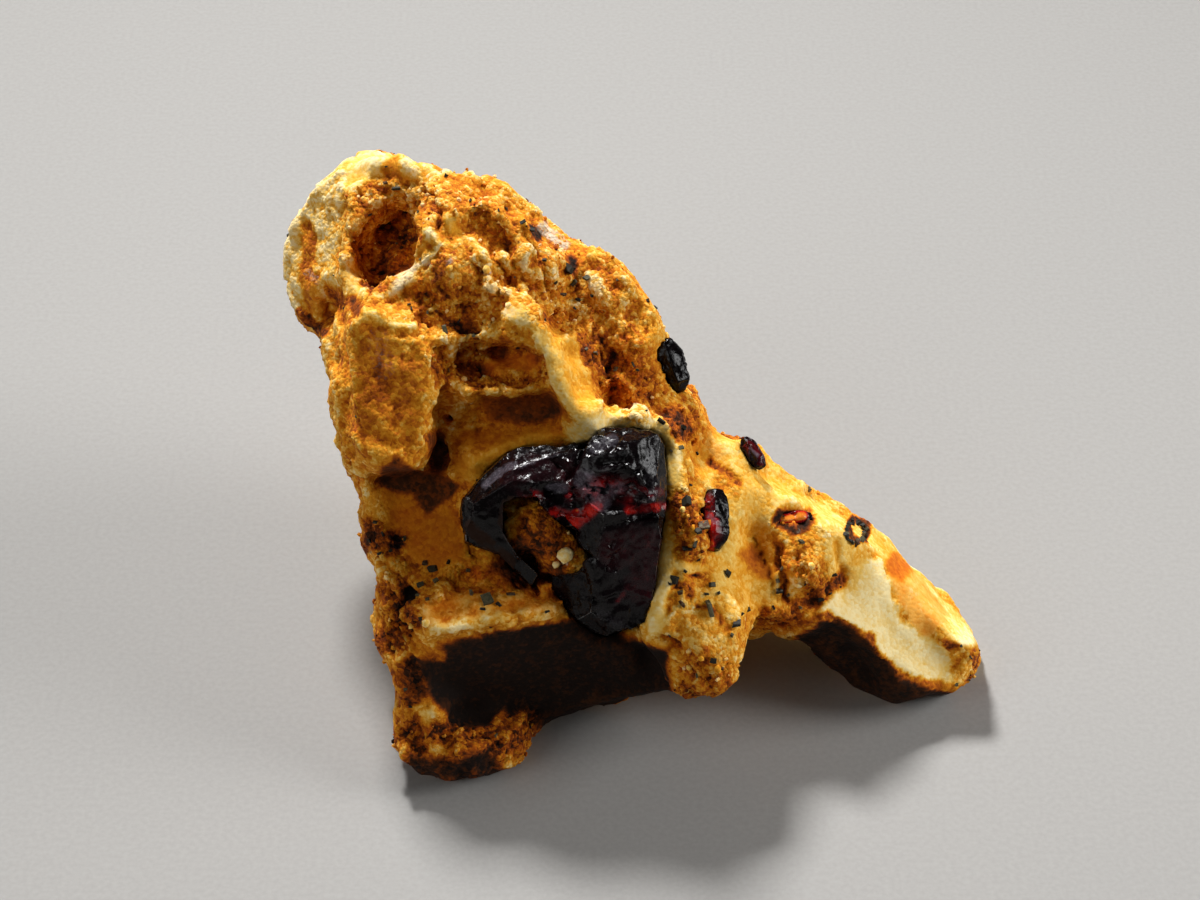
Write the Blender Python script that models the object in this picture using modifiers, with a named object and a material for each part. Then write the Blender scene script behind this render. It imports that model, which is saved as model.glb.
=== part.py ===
"""Clinohumite on matrix: ochre, limonite-stained host rock with one large broken crystal and small ones.

The stone is drawn in millimetres on its display face: U runs across the face to the right, V up it and
W out of it. The drawing is a perspective one, as from VIEW_DISTANCE in front of the face, and placed()
turns a drawn point into a real one. At the end the face is leaned back by DISPLAY_TILT and the stone is
cut flat where it rests.
"""

import math

import bmesh
import bpy
import numpy as np
from mathutils import Matrix, Vector, noise

MM = 0.001

# Driving dimensions, in millimetres and degrees
VIEW_DISTANCE = 200.0
DISPLAY_TILT = 40.0  # the display face looks this far above the horizon
FACE_HEIGHT = 22.5  # height of the drawing's origin above the surface the stone rests on
SOCKET_GAP = 0.28  # space between a crystal and the socket that holds it
GRID = 0.45  # grid that merges the lumps into one body
STROKE_DEPTH = 6.0  # rock further than this behind a stroke's level is left as it is
EDGE_FADE = 0.35  # strokes and facets fade out where the surface turns this far from the viewer
MATRIX_TRIANGLES = 8600  # what the rock is thinned to
ROCK_COLOUR = (0.62, 0.37, 0.12)
CRYSTAL_COLOUR = (0.09, 0.012, 0.012)

# The edge of the stone as the drawing shows it (u, v), clockwise from the tip
OUTLINE = (
    (-14.8, 20.0), (-13.3, 19.1), (-12.0, 18.5), (-10.9, 18.7), (-9.7, 18.0), (-8.0, 18.0), (-6.3, 17.3),
    (-4.7, 16.0), (-3.1, 14.8), (-1.7, 13.6), (0.0, 13.2), (0.8, 12.7), (1.7, 11.7), (2.7, 10.3),
    (3.7, 9.0), (4.3, 7.7), (4.6, 7.0), (4.9, 5.4), (5.3, 4.2), (6.6, 3.1), (7.0, 1.7), (7.9, 0.7),
    (9.7, 0.5), (10.5, 0.5), (11.1, -0.8), (12.3, -1.7), (14.0, -2.7), (16.0, -3.5), (17.3, -4.3),
    (18.7, -5.0), (19.7, -6.3), (20.7, -7.5), (22.3, -9.0), (23.7, -10.5), (24.7, -12.0), (25.4, -13.3),
    (24.9, -15.0), (23.7, -16.0), (22.0, -16.5), (20.0, -17.0), (18.3, -16.9), (16.7, -16.0), (15.0, -14.0),
    (13.3, -12.7), (11.3, -11.9), (9.7, -12.7), (9.5, -14.3), (8.5, -15.7), (6.7, -16.4), (5.0, -15.9),
    (2.7, -16.3), (0.0, -16.9), (-2.7, -17.7), (-4.5, -18.7), (-4.7, -19.5), (-5.8, -20.8), (-7.3, -21.5),
    (-10.0, -22.0), (-12.1, -21.5), (-13.2, -20.0), (-13.5, -18.0), (-13.5, -16.7), (-13.7, -14.7),
    (-14.7, -13.0), (-14.9, -11.3), (-14.8, -10.0), (-14.5, -8.7), (-15.2, -7.3), (-15.9, -6.0),
    (-16.0, -4.3), (-15.5, -3.3), (-16.3, -2.0), (-16.8, -0.3), (-17.2, 1.3), (-17.6, 3.0), (-17.5, 4.3),
    (-18.0, 6.0), (-18.3, 7.7), (-19.5, 8.3), (-20.1, 10.0), (-20.5, 12.0), (-20.5, 13.7), (-20.0, 15.0),
    (-18.3, 17.0), (-17.0, 18.3), (-15.9, 19.5),
)

# Lumps of rock: centre (u, v, w), half sizes, turn in the face's plane, blockiness (2 is an ellipsoid)
LUMPS = {
    "core_upper": ((-8.0, 8.0, -12.0), (10.0, 9.5, 9.0), 0, 2.3),
    "core_lower": ((-5.3, -4.7, -13.0), (10.0, 9.5, 8.0), 0, 2.3),
    "flank": ((2.7, -5.5, -9.5), (8.0, 6.5, 7.5), -25, 2.3),
    "flank_top": ((8.0, -3.6, -13.0), (6.0, 5.4, 6.5), -20, 2.3),
    "top_left": ((-14.3, 14.3, -14.0), (6.8, 6.5, 6.5), 30, 2.4),
    "tip": ((-14.4, 18.4, -12.0), (3.2, 3.0, 3.2), 0, 2.2),
    "left_bulge": ((-17.6, 12.6, -15.0), (4.6, 6.0, 5.5), -15, 2.3),
    "upper_mid": ((-8.0, 13.0, -7.5), (6.5, 5.6, 5.8), -10, 2.4),
    "skyline": ((-4.5, 12.6, -9.5), (6.5, 5.0, 5.0), -40, 2.4),
    "shoulder": ((1.2, 8.0, -10.0), (5.0, 6.0, 5.2), -25, 2.4),
    "shoulder_foot": ((4.0, 3.3, -9.5), (4.2, 5.0, 4.5), -30, 2.4),
    "arm_root": ((11.3, -6.7, -11.8), (6.5, 6.0, 5.5), -30, 2.4),
    "arm": ((18.0, -10.5, -13.5), (8.5, 4.8, 4.5), -38, 2.6),
    "arm_tip": ((23.3, -14.0, -14.6), (3.6, 3.4, 3.0), 0, 2.4),
    "nose": ((7.0, -12.7, -5.2), (3.2, 4.6, 3.6), 0, 2.4),
    "rim": ((4.5, -9.6, -5.0), (2.6, 4.4, 3.6), 8, 2.6),
    "left_plate": ((-14.0, 4.0, -4.0), (3.8, 5.8, 3.8), -6, 3.0),
    "left_back": ((-16.6, 4.0, -12.5), (2.8, 7.5, 5.0), 5, 2.3),
    "left_nodules": ((-14.6, -5.0, -9.5), (2.8, 4.0, 3.8), 0, 2.3),
    "left_low": ((-13.0, -10.2, -8.4), (3.4, 4.8, 4.2), 5, 2.4),
    "ledge": ((-7.0, -10.2, -5.6), (5.6, 2.0, 4.3), 4, 3.4),
    "column_low": ((-11.6, -15.3, -8.7), (3.4, 6.0, 4.2), 5, 2.4),
    "foot": ((-9.2, -19.8, -9.3), (5.4, 3.2, 4.2), 6, 2.6),
    "below_crystal": ((-0.3, -13.5, -12.3), (7.0, 5.0, 4.8), -5, 2.3),
    "lower_middle": ((-6.0, -14.0, -13.0), (4.8, 4.6, 4.6), 0, 2.4),
    "infill": ((-3.7, -5.6, -4.3), (3.4, 2.6, 3.2), -10, 2.3),
    "pale_column": ((-2.0, 4.2, -3.0), (1.6, 4.6, 2.7), 31, 2.3),
    "pale_facet": ((-5.2, 8.7, -2.8), (1.8, 1.5, 2.3), 0, 2.4),
    "back_hump": ((-8.0, 5.0, -18.5), (9.0, 8.5, 7.0), 0, 2.3),
    "back_foot": ((-8.0, -3.0, -24.0), (6.5, 5.0, 5.0), 0, 2.5),
}

# Hollows in the rock, drawn the same way
HOLLOWS = {
    "upper_cavity": ((-13.6, 13.6, -6.0), (3.3, 3.6, 3.5), -20, 2.3),
    "tip_recess": ((-13.7, 18.1, -8.2), (1.0, 1.1, 1.4), 0, 2.0),
    "cave": ((-7.0, 6.5, -1.4), (3.5, 1.6, 3.5), 5, 2.4),
    "second_cave": ((-5.2, 2.7, -0.6), (3.4, 1.9, 3.8), -5, 2.4),
    "rust_pit": ((-9.7, 8.3, -1.5), (1.1, 0.9, 2.0), 0, 2.0),
    "left_hollow": ((-11.3, -4.3, -1.6), (3.2, 3.4, 4.6), 0, 2.4),
    "under_ledge": ((-6.7, -14.8, -3.0), (4.0, 2.6, 4.0), 0, 2.4),
    "foot_notch": ((-8.5, -17.3, -3.8), (1.6, 1.3, 3.2), 0, 2.0),
    "under_body": ((4.0, -13.9, -20.4), (9.2, 8.4, 8.4), 0, 2.5),
    "arm_scoop": ((20.9, -9.5, -8.8), (1.3, 3.0, 1.3), 30, 2.0),
}

# Where the surface of the display face is brought to a known depth: reach, then a path of points (u, v, w)
LEVELS = {
    "back_left_face": (
        2.3,
        ((-17.0, 18.0, -11.0), (-19.2, 15.7, -12.5), (-20.1, 12.7, -13.5), (-19.2, 9.3, -13.0)),
    ),
    "cavity_left_rim": (
        0.7,
        (
            (-14.4, 18.3, -9.3), (-16.0, 17.2, -8.2), (-16.9, 15.7, -7.8), (-17.1, 12.5, -7.2),
            (-16.5, 10.0, -6.5),
        ),
    ),
    "cavity_floor": (1.5, ((-13.2, 15.0, -10.8), (-14.8, 13.7, -11.0), (-15.5, 12.3, -10.0))),
    "cavity_right_wall": (0.9, ((-12.8, 17.6, -8.0), (-11.7, 16.3, -7.0))),
    "star_ridge": (
        0.7,
        ((-10.0, 14.3, -2.4), (-11.5, 12.5, -2.8), (-13.3, 11.0, -2.8), (-15.7, 8.9, -2.6)),
    ),
    "top_crest": (
        1.2,
        (
            (-12.8, 19.0, -8.0), (-11.3, 18.7, -7.5), (-9.3, 18.0, -6.5), (-6.3, 17.2, -6.2),
            (-3.7, 15.2, -6.5), (-1.7, 13.5, -7.0),
        ),
    ),
    "upper_face": (1.5, ((-8.7, 15.2, -3.4), (-6.3, 13.7, -2.8))),
    "upper_face_low": (1.3, ((-9.0, 12.0, -1.6), (-10.7, 10.0, -1.8), (-7.0, 10.7, -1.7))),
    "brown_recess": (0.7, ((-1.7, 12.5, -7.2), (-1.5, 10.8, -6.8))),
    "shoulder_boss": (1.5, ((0.8, 10.5, -5.0), (1.5, 8.0, -4.2), (1.9, 6.5, -4.0))),
    "shoulder_low": (0.9, ((0.8, 4.8, -3.6), (2.7, 3.5, -4.2))),
    "greenish_lumps": (0.7, ((6.0, 3.5, -6.2), (6.3, 1.7, -6.2))),
    "column_groove": (0.6, ((-2.4, 9.2, -5.4), (-1.7, 6.7, -5.4), (-1.1, 3.7, -4.0))),
    "pale_ridge": (
        0.6,
        (
            (-5.9, 9.4, -0.9), (-4.1, 8.3, -0.3), (-3.3, 6.3, -0.2), (-2.9, 4.3, -0.2), (-1.7, 2.7, -0.4),
            (0.1, 1.2, -0.8),
        ),
    ),
    "cave_brow": (0.5, ((-10.7, 7.5, -1.2), (-8.9, 7.7, -1.0), (-6.1, 7.7, -0.6), (-4.5, 7.1, -0.4))),
    "cave_floor_back": (0.6, ((-8.9, 6.3, -5.4), (-6.3, 6.4, -5.4))),
    "cave_floor": (0.6, ((-6.0, 5.5, -3.2), (-4.5, 5.5, -2.4))),
    "ledge_lip": (0.5, ((-10.1, 4.4, -1.9), (-8.5, 3.8, -1.5), (-6.1, 3.9, -1.3), (-4.1, 4.1, -1.2))),
    "recess_back": (0.9, ((-8.8, 2.5, -5.0), (-6.0, 2.8, -5.8), (-3.7, 2.9, -5.0))),
    "crystal_shelf": (0.6, ((-8.7, -0.1, -4.2), (-6.0, 0.8, -3.0), (-2.7, 1.1, -2.2), (-0.7, 1.5, -1.4))),
    "plate": (2.3, ((-14.3, 6.8, -0.9), (-14.7, 4.1, 0.1), (-14.3, 1.5, -0.2))),
    "plate_top": (0.5, ((-16.1, 8.5, -1.2), (-15.1, 8.9, -1.0), (-13.6, 8.3, -1.0), (-12.4, 8.2, -1.4))),
    "plate_side": (0.9, ((-17.3, 7.0, -4.5), (-17.3, 3.3, -4.2), (-16.7, -0.3, -4.5))),
    "plate_wedge": (0.6, ((-13.0, -0.1, -1.4), (-12.5, -1.1, -1.8))),
    "neck": (0.6, ((-17.8, 7.7, -10.0), (-17.8, 5.2, -10.0))),
    "slot": (0.8, ((-10.8, 3.0, -6.5), (-10.6, 0.7, -8.5), (-10.9, -1.2, -8.0))),
    "hollow_top": (0.9, ((-14.1, -2.3, -7.0), (-12.3, -2.8, -7.5))),
    "left_edge": (0.7, ((-15.9, -1.3, -4.5), (-15.5, -2.7, -5.0))),
    "left_hollow_floor": (1.3, ((-13.3, -3.3, -6.2), (-11.3, -5.3, -6.0), (-10.3, -7.3, -4.8))),
    "nodules": (0.7, ((-15.1, -4.1, -5.6), (-15.1, -5.7, -5.0), (-14.1, -7.3, -5.2))),
    "grain_mound": (0.7, ((-11.3, -7.1, -4.2), (-12.1, -9.0, -3.6))),
    "left_lumps": (0.9, ((-13.7, -9.3, -4.4), (-13.9, -11.7, -4.8))),
    "ledge_edge": (
        0.5,
        ((-11.6, -12.3, -1.9), (-9.8, -11.8, -1.5), (-7.1, -11.5, -1.2), (-3.4, -11.0, -1.6)),
    ),
    "ledge_top": (0.7, ((-10.7, -10.4, -3.2), (-8.0, -10.0, -3.0), (-4.7, -9.7, -3.3))),
    "ledge_back": (0.9, ((-10.0, -8.9, -5.4), (-7.3, -8.7, -5.0), (-5.0, -8.4, -4.4))),
    "small_ledge": (0.5, ((-13.0, -13.3, -4.0), (-11.7, -13.7, -3.4), (-10.5, -13.7, -4.0))),
    "column_face": (0.9, ((-12.5, -15.3, -5.6), (-12.5, -16.7, -5.4))),
    "dark_face": (1.2, ((-9.0, -14.0, -7.0), (-6.0, -14.1, -7.8), (-2.7, -14.1, -8.2))),
    "foot_patch": (0.6, ((-12.5, -17.7, -4.4), (-11.9, -18.1, -4.2))),
    "foot_rim": (
        0.6,
        ((-11.7, -19.5, -4.8), (-9.0, -20.1, -4.4), (-6.7, -19.2, -5.0), (-5.2, -18.1, -5.6)),
    ),
    "foot_bowl": (0.7, ((-10.0, -18.1, -6.8), (-7.9, -17.7, -7.8))),
    "sheet": (
        0.9,
        ((1.7, 2.3, -1.4), (5.0, 1.3, -3.2), (5.3, -1.3, -2.6), (4.8, -8.7, -1.6), (4.1, -11.5, -1.4)),
    ),
    "sheet_slope": (1.2, ((8.0, 0.7, -6.6), (9.0, -3.3, -5.2), (8.0, -7.3, -3.6))),
    "inclusion_boss": (1.1, ((5.5, -4.3, -1.0), (5.9, -6.0, -1.2))),
    "red_crystal_seat": (0.6, ((7.6, -4.0, -3.6), (7.7, -6.0, -3.4))),
    "nose_top": (0.8, ((6.3, -9.3, -2.2), (7.5, -10.8, -1.8))),
    "nose_front": (0.9, ((6.7, -12.7, -1.3), (7.7, -14.3, -1.7))),
    "nose_notch": (0.5, ((4.5, -13.5, -5.5), (4.8, -14.5, -6.0))),
    "smooth_hollow": (0.9, ((10.0, -5.5, -7.4), (10.9, -7.3, -7.4))),
    "boss": (1.3, ((13.5, -7.1, -5.4), (13.9, -8.3, -5.0))),
    "boss_rim": (0.5, ((11.9, -7.1, -6.4), (12.5, -9.9, -6.6), (14.8, -9.5, -6.8))),
    "boss_edge_low": (0.6, ((11.0, -10.8, -5.6), (12.7, -11.1, -6.6))),
    "arm_edge": (
        0.7,
        (
            (13.7, -11.1, -6.4), (16.0, -11.1, -6.8), (17.9, -12.4, -7.6), (19.3, -13.7, -8.6),
            (20.5, -14.8, -9.6), (23.3, -15.6, -10.8),
        ),
    ),
    "arm_face": (
        1.3,
        ((16.7, -8.7, -9.0), (18.7, -10.4, -9.6), (21.0, -12.7, -10.8), (23.0, -14.1, -12.0)),
    ),
    "arm_top": (
        1.3,
        (
            (11.3, -1.3, -9.5), (14.3, -2.7, -11.0), (17.3, -4.3, -12.0), (19.9, -6.3, -12.8),
            (22.3, -8.9, -13.6), (24.5, -11.5, -14.8),
        ),
    ),
    "arm_under": (0.8, ((16.4, -13.2, -11.0), (18.1, -15.3, -12.5))),
    "edge_crystal_seat": (0.9, ((4.9, 7.0, -8.0), (5.3, 3.9, -8.0))),
}

# Flat faces on the display face: the corners (u, v, w) of each, which need not lie quite in one plane
FACETS = {
    "plate": (
        (-16.5, 8.0, -1.6), (-15.1, 8.8, -1.2), (-12.4, 8.0, -1.2), (-11.7, 6.7, -0.9), (-11.7, 3.3, -0.4),
        (-11.9, 0.1, -0.6), (-13.1, -1.3, -1.0), (-15.2, -0.1, -1.2), (-16.5, 0.7, -1.8),
    ),
    "back_left": (
        (-20.0, 16.7, -12.5), (-17.0, 19.0, -10.5), (-16.7, 16.7, -8.8), (-17.1, 13.3, -8.6),
        (-18.8, 8.9, -10.8), (-20.0, 11.3, -13.2),
    ),
    "pale_facet": ((-6.1, 9.3, -0.7), (-4.5, 9.6, -0.9), (-3.7, 7.0, -0.2), (-4.7, 7.9, -0.3)),
    "column": ((-2.7, 7.9, -2.4), (-0.7, 8.0, -4.2), (-0.1, 3.3, -3.2), (-1.5, 3.0, -1.4)),
    "recess_back": ((-9.6, 3.2, -4.4), (-2.7, 3.4, -4.2), (-2.6, 1.9, -4.8), (-7.3, 1.7, -5.4)),
    "recess_floor": (
        (-9.5, 1.5, -5.6), (-2.6, 1.7, -4.8), (-1.7, 0.8, -1.9), (-5.0, 0.1, -2.1), (-8.4, -1.2, -3.6),
    ),
    "hollow_upper": ((-14.3, -1.3, -7.4), (-9.9, -2.1, -6.6), (-9.1, -4.1, -5.4), (-14.0, -4.5, -6.6)),
    "hollow_lower": (
        (-14.0, -4.7, -6.5), (-9.1, -4.4, -5.3), (-8.1, -7.1, -4.4), (-11.2, -9.2, -3.8),
        (-12.8, -7.9, -5.0),
    ),
    "slope": ((-8.8, -6.8, -4.8), (-4.3, -6.8, -4.6), (-2.9, -9.1, -3.9), (-8.1, -9.1, -3.6)),
    "ledge_top": (
        (-11.7, -10.0, -3.3), (-8.7, -9.3, -3.5), (-2.7, -9.3, -3.8), (-2.6, -10.4, -1.9),
        (-7.1, -11.5, -1.2), (-9.8, -11.9, -1.4), (-11.5, -12.4, -1.9),
    ),
    "dark_face": (
        (-11.2, -12.8, -2.6), (-7.1, -11.9, -2.0), (-2.5, -10.9, -2.4), (2.4, -12.7, -6.2),
        (2.7, -15.9, -8.0), (-2.7, -16.7, -8.4), (-6.7, -16.9, -7.8), (-10.9, -16.3, -6.6),
    ),
    "sheet": (
        (3.9, -3.3, -2.2), (4.8, -1.3, -3.0), (4.9, -7.3, -2.4), (4.0, -11.9, -1.4), (3.3, -11.7, -1.2),
        (3.5, -8.7, -1.6),
    ),
    "arm_face": (
        (16.7, -10.1, -8.4), (18.7, -8.5, -9.2), (23.5, -13.3, -11.4), (22.4, -15.3, -11.4),
        (19.0, -13.3, -9.2),
    ),
}
FACET_EDGE = 0.7  # width over which a flat face turns into the rock round it

# Smooth ground on the rock's surface: reach, then a path of points (u, v, w)
SMOOTH_GROUND = {
    "back_left_face": (3.4, (-18.0, 15.5, -11.0), (-20.0, 11.0, -12.5)),
    "plate": (3.4, (-14.3, 7.0, -1.0), (-14.5, 1.0, -0.5)),
    "pale_ridge": (2.4, (-5.5, 9.0, -0.9), (-3.0, 5.5, -0.3), (0.0, 1.3, -0.8)),
    "recess": (3.4, (-8.0, 2.8, -4.5), (-3.5, 2.8, -4.0)),
    "left_hollow": (4.0, (-13.0, -3.3, -6.5), (-11.0, -6.0, -6.0)),
    "dark_face": (4.0, (-9.5, -14.5, -6.0), (-2.5, -14.5, -7.5), (3.0, -14.5, -8.0)),
    "sheet": (2.8, (5.0, 1.0, -3.0), (5.3, -5.0, -2.6), (4.2, -11.0, -1.5)),
    "flank": (4.0, (8.5, -1.0, -6.5), (9.5, -6.0, -6.0)),
    "arm": (5.3, (16.0, -7.0, -9.0), (20.0, -12.0, -11.0), (23.0, -14.0, -12.0)),
}

# Faces along which the back of the stone broke: a point on each, the direction it faces and its reach
BREAKS = (
    ((-8.0, 8.0, -24.5), (0.15, 0.35, -0.92), 13.0),
    ((-20.5, 8.0, -18.0), (-0.75, 0.05, -0.65), 9.0),
    ((3.5, 4.5, -16.5), (0.70, 0.40, -0.60), 9.0),
    ((-12.0, 17.5, -17.5), (-0.10, 0.75, -0.65), 9.0),
    ((-15.5, -5.0, -17.5), (-0.90, -0.10, -0.40), 9.0),
    ((-8.0, -3.0, -28.0), (-0.20, 0.35, -0.90), 8.0),
    ((13.5, -5.5, -16.5), (0.30, 0.55, -0.80), 7.0),
)
BACK_STARTS = -9.0  # depth behind which the back is broken
BREAK_STRENGTH = 0.85  # how much of what stands beyond a break is taken off
HEAVE_SIZE = 6.0  # size of the swells on the back
HEAVE = 0.9  # and their height
BUMPS = 0.42  # height of the bumps on rough ground
SMOOTH_BUMPS = 0.1  # and on smooth ground
BROAD_BUMP_SIZE = 3.1
FINE_BUMP_SIZE = 1.5

# The large crystal: each block is a profile (u, v) drawn out between two depths, then cut by facets, each a
# point on the facet and the direction it faces
CRYSTAL_BLOCKS = {
    "arm": (
        (
            (-1.1, 0.15), (-1.7, 0.45), (-2.6, 0.15), (-3.4, 0.27), (-4.6, 0.27), (-5.5, 0.05), (-6.5, -0.4),
            (-7.8, -1.6), (-8.5, -2.5), (-9.2, -3.3), (-9.3, -3.9), (-9.0, -6.2), (-8.3, -6.4), (-6.7, -6.9),
            (-4.6, -9.1), (-4.1, -8.3), (-5.5, -7.1), (-6.5, -5.5), (-6.5, -3.5), (-5.7, -3.1), (-4.2, -3.1),
            (-3.2, -4.5), (-0.9, -4.6),
        ),
        (-4.8, 0.8),
        (
            ((-7.0, -1.0, -0.9), (-0.46, 0.54, 0.70)),
            ((-4.0, 0.3, -0.9), (0.02, 0.56, 0.83)),
            ((-9.2, -5.0, -1.0), (-0.75, -0.10, 0.65)),
            ((-6.5, -2.8, 0.5), (-0.05, -0.25, 0.96)),
            ((-7.5, -5.8, -0.8), (-0.10, -0.50, 0.85)),
        ),
    ),
    "head": (
        (
            (-1.1, 0.15), (-0.7, 0.6), (-0.15, 1.3), (0.4, 1.5), (3.3, 1.4), (3.9, 1.1), (4.3, 0.3),
            (4.4, -2.4), (4.3, -4.5), (3.9, -7.0), (3.7, -9.1), (3.0, -11.5), (0.4, -12.5), (-0.3, -12.3),
            (-1.3, -11.6), (-2.3, -10.6), (-3.1, -9.3), (-3.2, -8.4), (-1.6, -8.2), (-0.5, -7.1), (-1.3, -6.5),
            (-1.9, -5.5), (-3.2, -4.5), (-3.2, -0.3),
        ),
        (-6.0, 1.7),
        (
            ((0.4, 0.2, 0.9), (-0.30, 0.50, 0.81)),
            ((3.0, -0.8, 1.0), (0.45, 0.20, 0.87)),
            ((1.8, 1.45, -0.7), (0.00, 0.90, 0.45)),
            ((4.35, -3.0, -0.5), (0.90, 0.00, 0.40)),
            ((2.0, -6.0, 0.3), (0.12, -0.42, 0.90)),
            ((-0.8, -8.6, -1.0), (-0.62, -0.25, 0.74)),
            ((0.8, -12.0, -2.6), (-0.20, -0.75, 0.63)),
            ((-2.0, -2.5, 0.7), (-0.25, 0.05, 0.97)),
        ),
    ),
}

# Shell-shaped chips broken out of the large crystal: centre, half sizes
CHIPS = (
    ((0.6, -2.9, 2.7), (3.9, 2.0, 2.2)),
    ((-3.3, -3.0, 1.9), (1.9, 1.5, 1.8)),
    ((3.0, -4.3, 2.0), (1.7, 0.9, 1.7)),
    ((1.2, -8.6, 1.6), (1.9, 2.6, 2.2)),
)

# The small crystals, six-sided and blunt at both ends: centre, half length, half width, long axis
SMALL_CRYSTALS = {
    "clinohumite_edge": ((4.8, 5.6, -6.4), 1.9, 1.1, (-0.28, 0.92, 0.20)),
    "clinohumite_red": ((7.6, -4.7, -3.9), 2.1, 1.15, (0.05, 0.95, -0.30)),
    "clinohumite_sprig": ((10.2, -0.2, -7.2), 1.25, 0.7, (0.50, -0.80, 0.25)),
    "clinohumite_lens": ((12.9, -4.6, -7.2), 1.25, 0.62, (0.97, 0.12, -0.20)),
}


def spread(w):
    """How much wider a thing drawn at depth w really is."""
    return 1 - w / VIEW_DISTANCE


def placed(point):
    """The real position of a drawn point."""
    u, v, w = point
    return Vector((u * spread(w), v * spread(w), w))


def clear_scene():
    for obj in list(bpy.data.objects):
        bpy.data.objects.remove(obj)


def new_object(name, bm, collection):
    """An object of this name from a bmesh, which is freed."""
    mesh = bpy.data.meshes.new(name)
    bm.to_mesh(mesh)
    bm.free()
    obj = bpy.data.objects.new(name, mesh)
    collection.objects.link(obj)
    return obj


def apply_modifiers(obj):
    """Makes what the modifiers show the object's own mesh."""
    graph = bpy.context.evaluated_depsgraph_get()
    mesh = bpy.data.meshes.new_from_object(obj.evaluated_get(graph))
    obj.modifiers.clear()
    obj.data = mesh


def add_boolean(obj, operation, other):
    cut = obj.modifiers.new(operation.lower() + "_" + other.name, "BOOLEAN")
    cut.operation = operation
    cut.solver = "EXACT"
    cut.object = other


def add_voxels(obj, size):
    voxels = obj.modifiers.new("voxels", "REMESH")
    voxels.mode = "VOXEL"
    voxels.voxel_size = size


def add_lump(bm, centre, half_sizes, turn, blockiness):
    """One rounded, slightly uneven lump of rock. A blockiness over 2 swells it towards a box."""
    made = bmesh.ops.create_icosphere(bm, subdivisions=3, radius=1.0)["verts"]
    for vert in made:
        power = sum(abs(c) ** blockiness for c in vert.co)
        vert.co *= power ** (-1 / blockiness)
        vert.co *= 1 + 0.1 * noise.noise(vert.co * 1.7 + Vector(centre))
    sizes = Vector(half_sizes) * spread(centre[2])
    turned = Matrix.Rotation(math.radians(turn), 4, "Z")
    place = Matrix.Translation(placed(centre)) @ turned @ Matrix.Diagonal((*sizes, 1))
    bmesh.ops.transform(bm, matrix=place, verts=made)


def merged_lumps(name, lumps, collection):
    """All these lumps as one closed body."""
    bm = bmesh.new()
    for lump in lumps.values():
        add_lump(bm, *lump)
    obj = new_object(name, bm, collection)
    add_voxels(obj, GRID)
    apply_modifiers(obj)
    return obj


def outline_prism(collection):
    """The outline drawn out along the lines of sight, from in front of the stone to behind it."""
    front, back = 12.0, -45.0
    bm = bmesh.new()
    rim = [bm.verts.new(placed((u, v, back))) for u, v in OUTLINE]
    bottom = bm.faces.new(rim)
    grown = bmesh.ops.extrude_face_region(bm, geom=[bottom])["geom"]
    top = [g for g in grown if isinstance(g, bmesh.types.BMVert)]
    for vert in top:
        vert.co = Vector((vert.co.x, vert.co.y, 0)) * spread(front) / spread(back) + Vector((0, 0, front))
    bmesh.ops.recalc_face_normals(bm, faces=bm.faces[:])
    return new_object("outline", bm, collection)


def rock_body(parts, cutters):
    rock = merged_lumps("matrix", LUMPS, parts)
    hollows = merged_lumps("hollows", HOLLOWS, cutters)
    outline = outline_prism(cutters)
    add_boolean(rock, "INTERSECT", outline)
    add_boolean(rock, "DIFFERENCE", hollows)
    add_voxels(rock, GRID)
    soften = rock.modifiers.new("soften", "SMOOTH")
    soften.factor = 0.5
    soften.iterations = 3
    apply_modifiers(rock)
    return rock


def distance_to_path(drawn, path):
    """From each drawn position (u, v) to the nearest spot of a path, and the path's depth at that spot."""
    points = np.array(path, dtype=float)
    if len(points) == 1:
        points = np.vstack([points, points])
    nearest = np.full(len(drawn), np.inf)
    depth = np.zeros(len(drawn))
    for start, end in zip(points[:-1], points[1:]):
        step = end[:2] - start[:2]
        along = ((drawn - start[:2]) @ step) / max(step @ step, 1e-9)
        along = np.clip(along, 0, 1)
        gap = np.linalg.norm(drawn - start[:2] - along[:, None] * step, axis=1)
        closer = gap < nearest
        nearest[closer] = gap[closer]
        depth[closer] = (start[2] + along * (end[2] - start[2]))[closer]
    return nearest, depth


def drawn_position(points):
    """Where real points stand in the drawing (u, v)."""
    return points[:, :2] / (1 - points[:, 2:] / VIEW_DISTANCE)


def ridged(position):
    """Noise with sharp crests and round valleys, from about -1.3 to 1."""
    return 1 - 2.6 * abs(noise.noise(position))


def surface_of(obj):
    """Positions and outward directions of an object's vertices, as arrays."""
    count = len(obj.data.vertices)
    points = np.empty(count * 3)
    normals = np.empty(count * 3)
    obj.data.vertices.foreach_get("co", points)
    obj.data.vertex_normals.foreach_get("vector", normals)
    return points.reshape(-1, 3), normals.reshape(-1, 3)


def bring_to_levels(rock):
    """Works the display face, stroke after stroke, to the depths that LEVELS gives."""
    points, normals = surface_of(rock)
    facing = np.clip(normals[:, 2] / EDGE_FADE + 1, 0, 1)
    for reach, path in LEVELS.values():
        gap, depth = distance_to_path(drawn_position(points), path)
        near = np.clip(1.5 - 1.5 * gap / reach, 0, 1)
        weight = near * near * (3 - 2 * near) * facing
        weight[points[:, 2] < depth - STROKE_DEPTH] = 0
        points[:, 2] += weight * (depth - points[:, 2])
    rock.data.vertices.foreach_set("co", points.ravel())
    add_voxels(rock, GRID)
    soften = rock.modifiers.new("soften", "SMOOTH")
    soften.factor = 0.5
    soften.iterations = 1
    apply_modifiers(rock)


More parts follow.
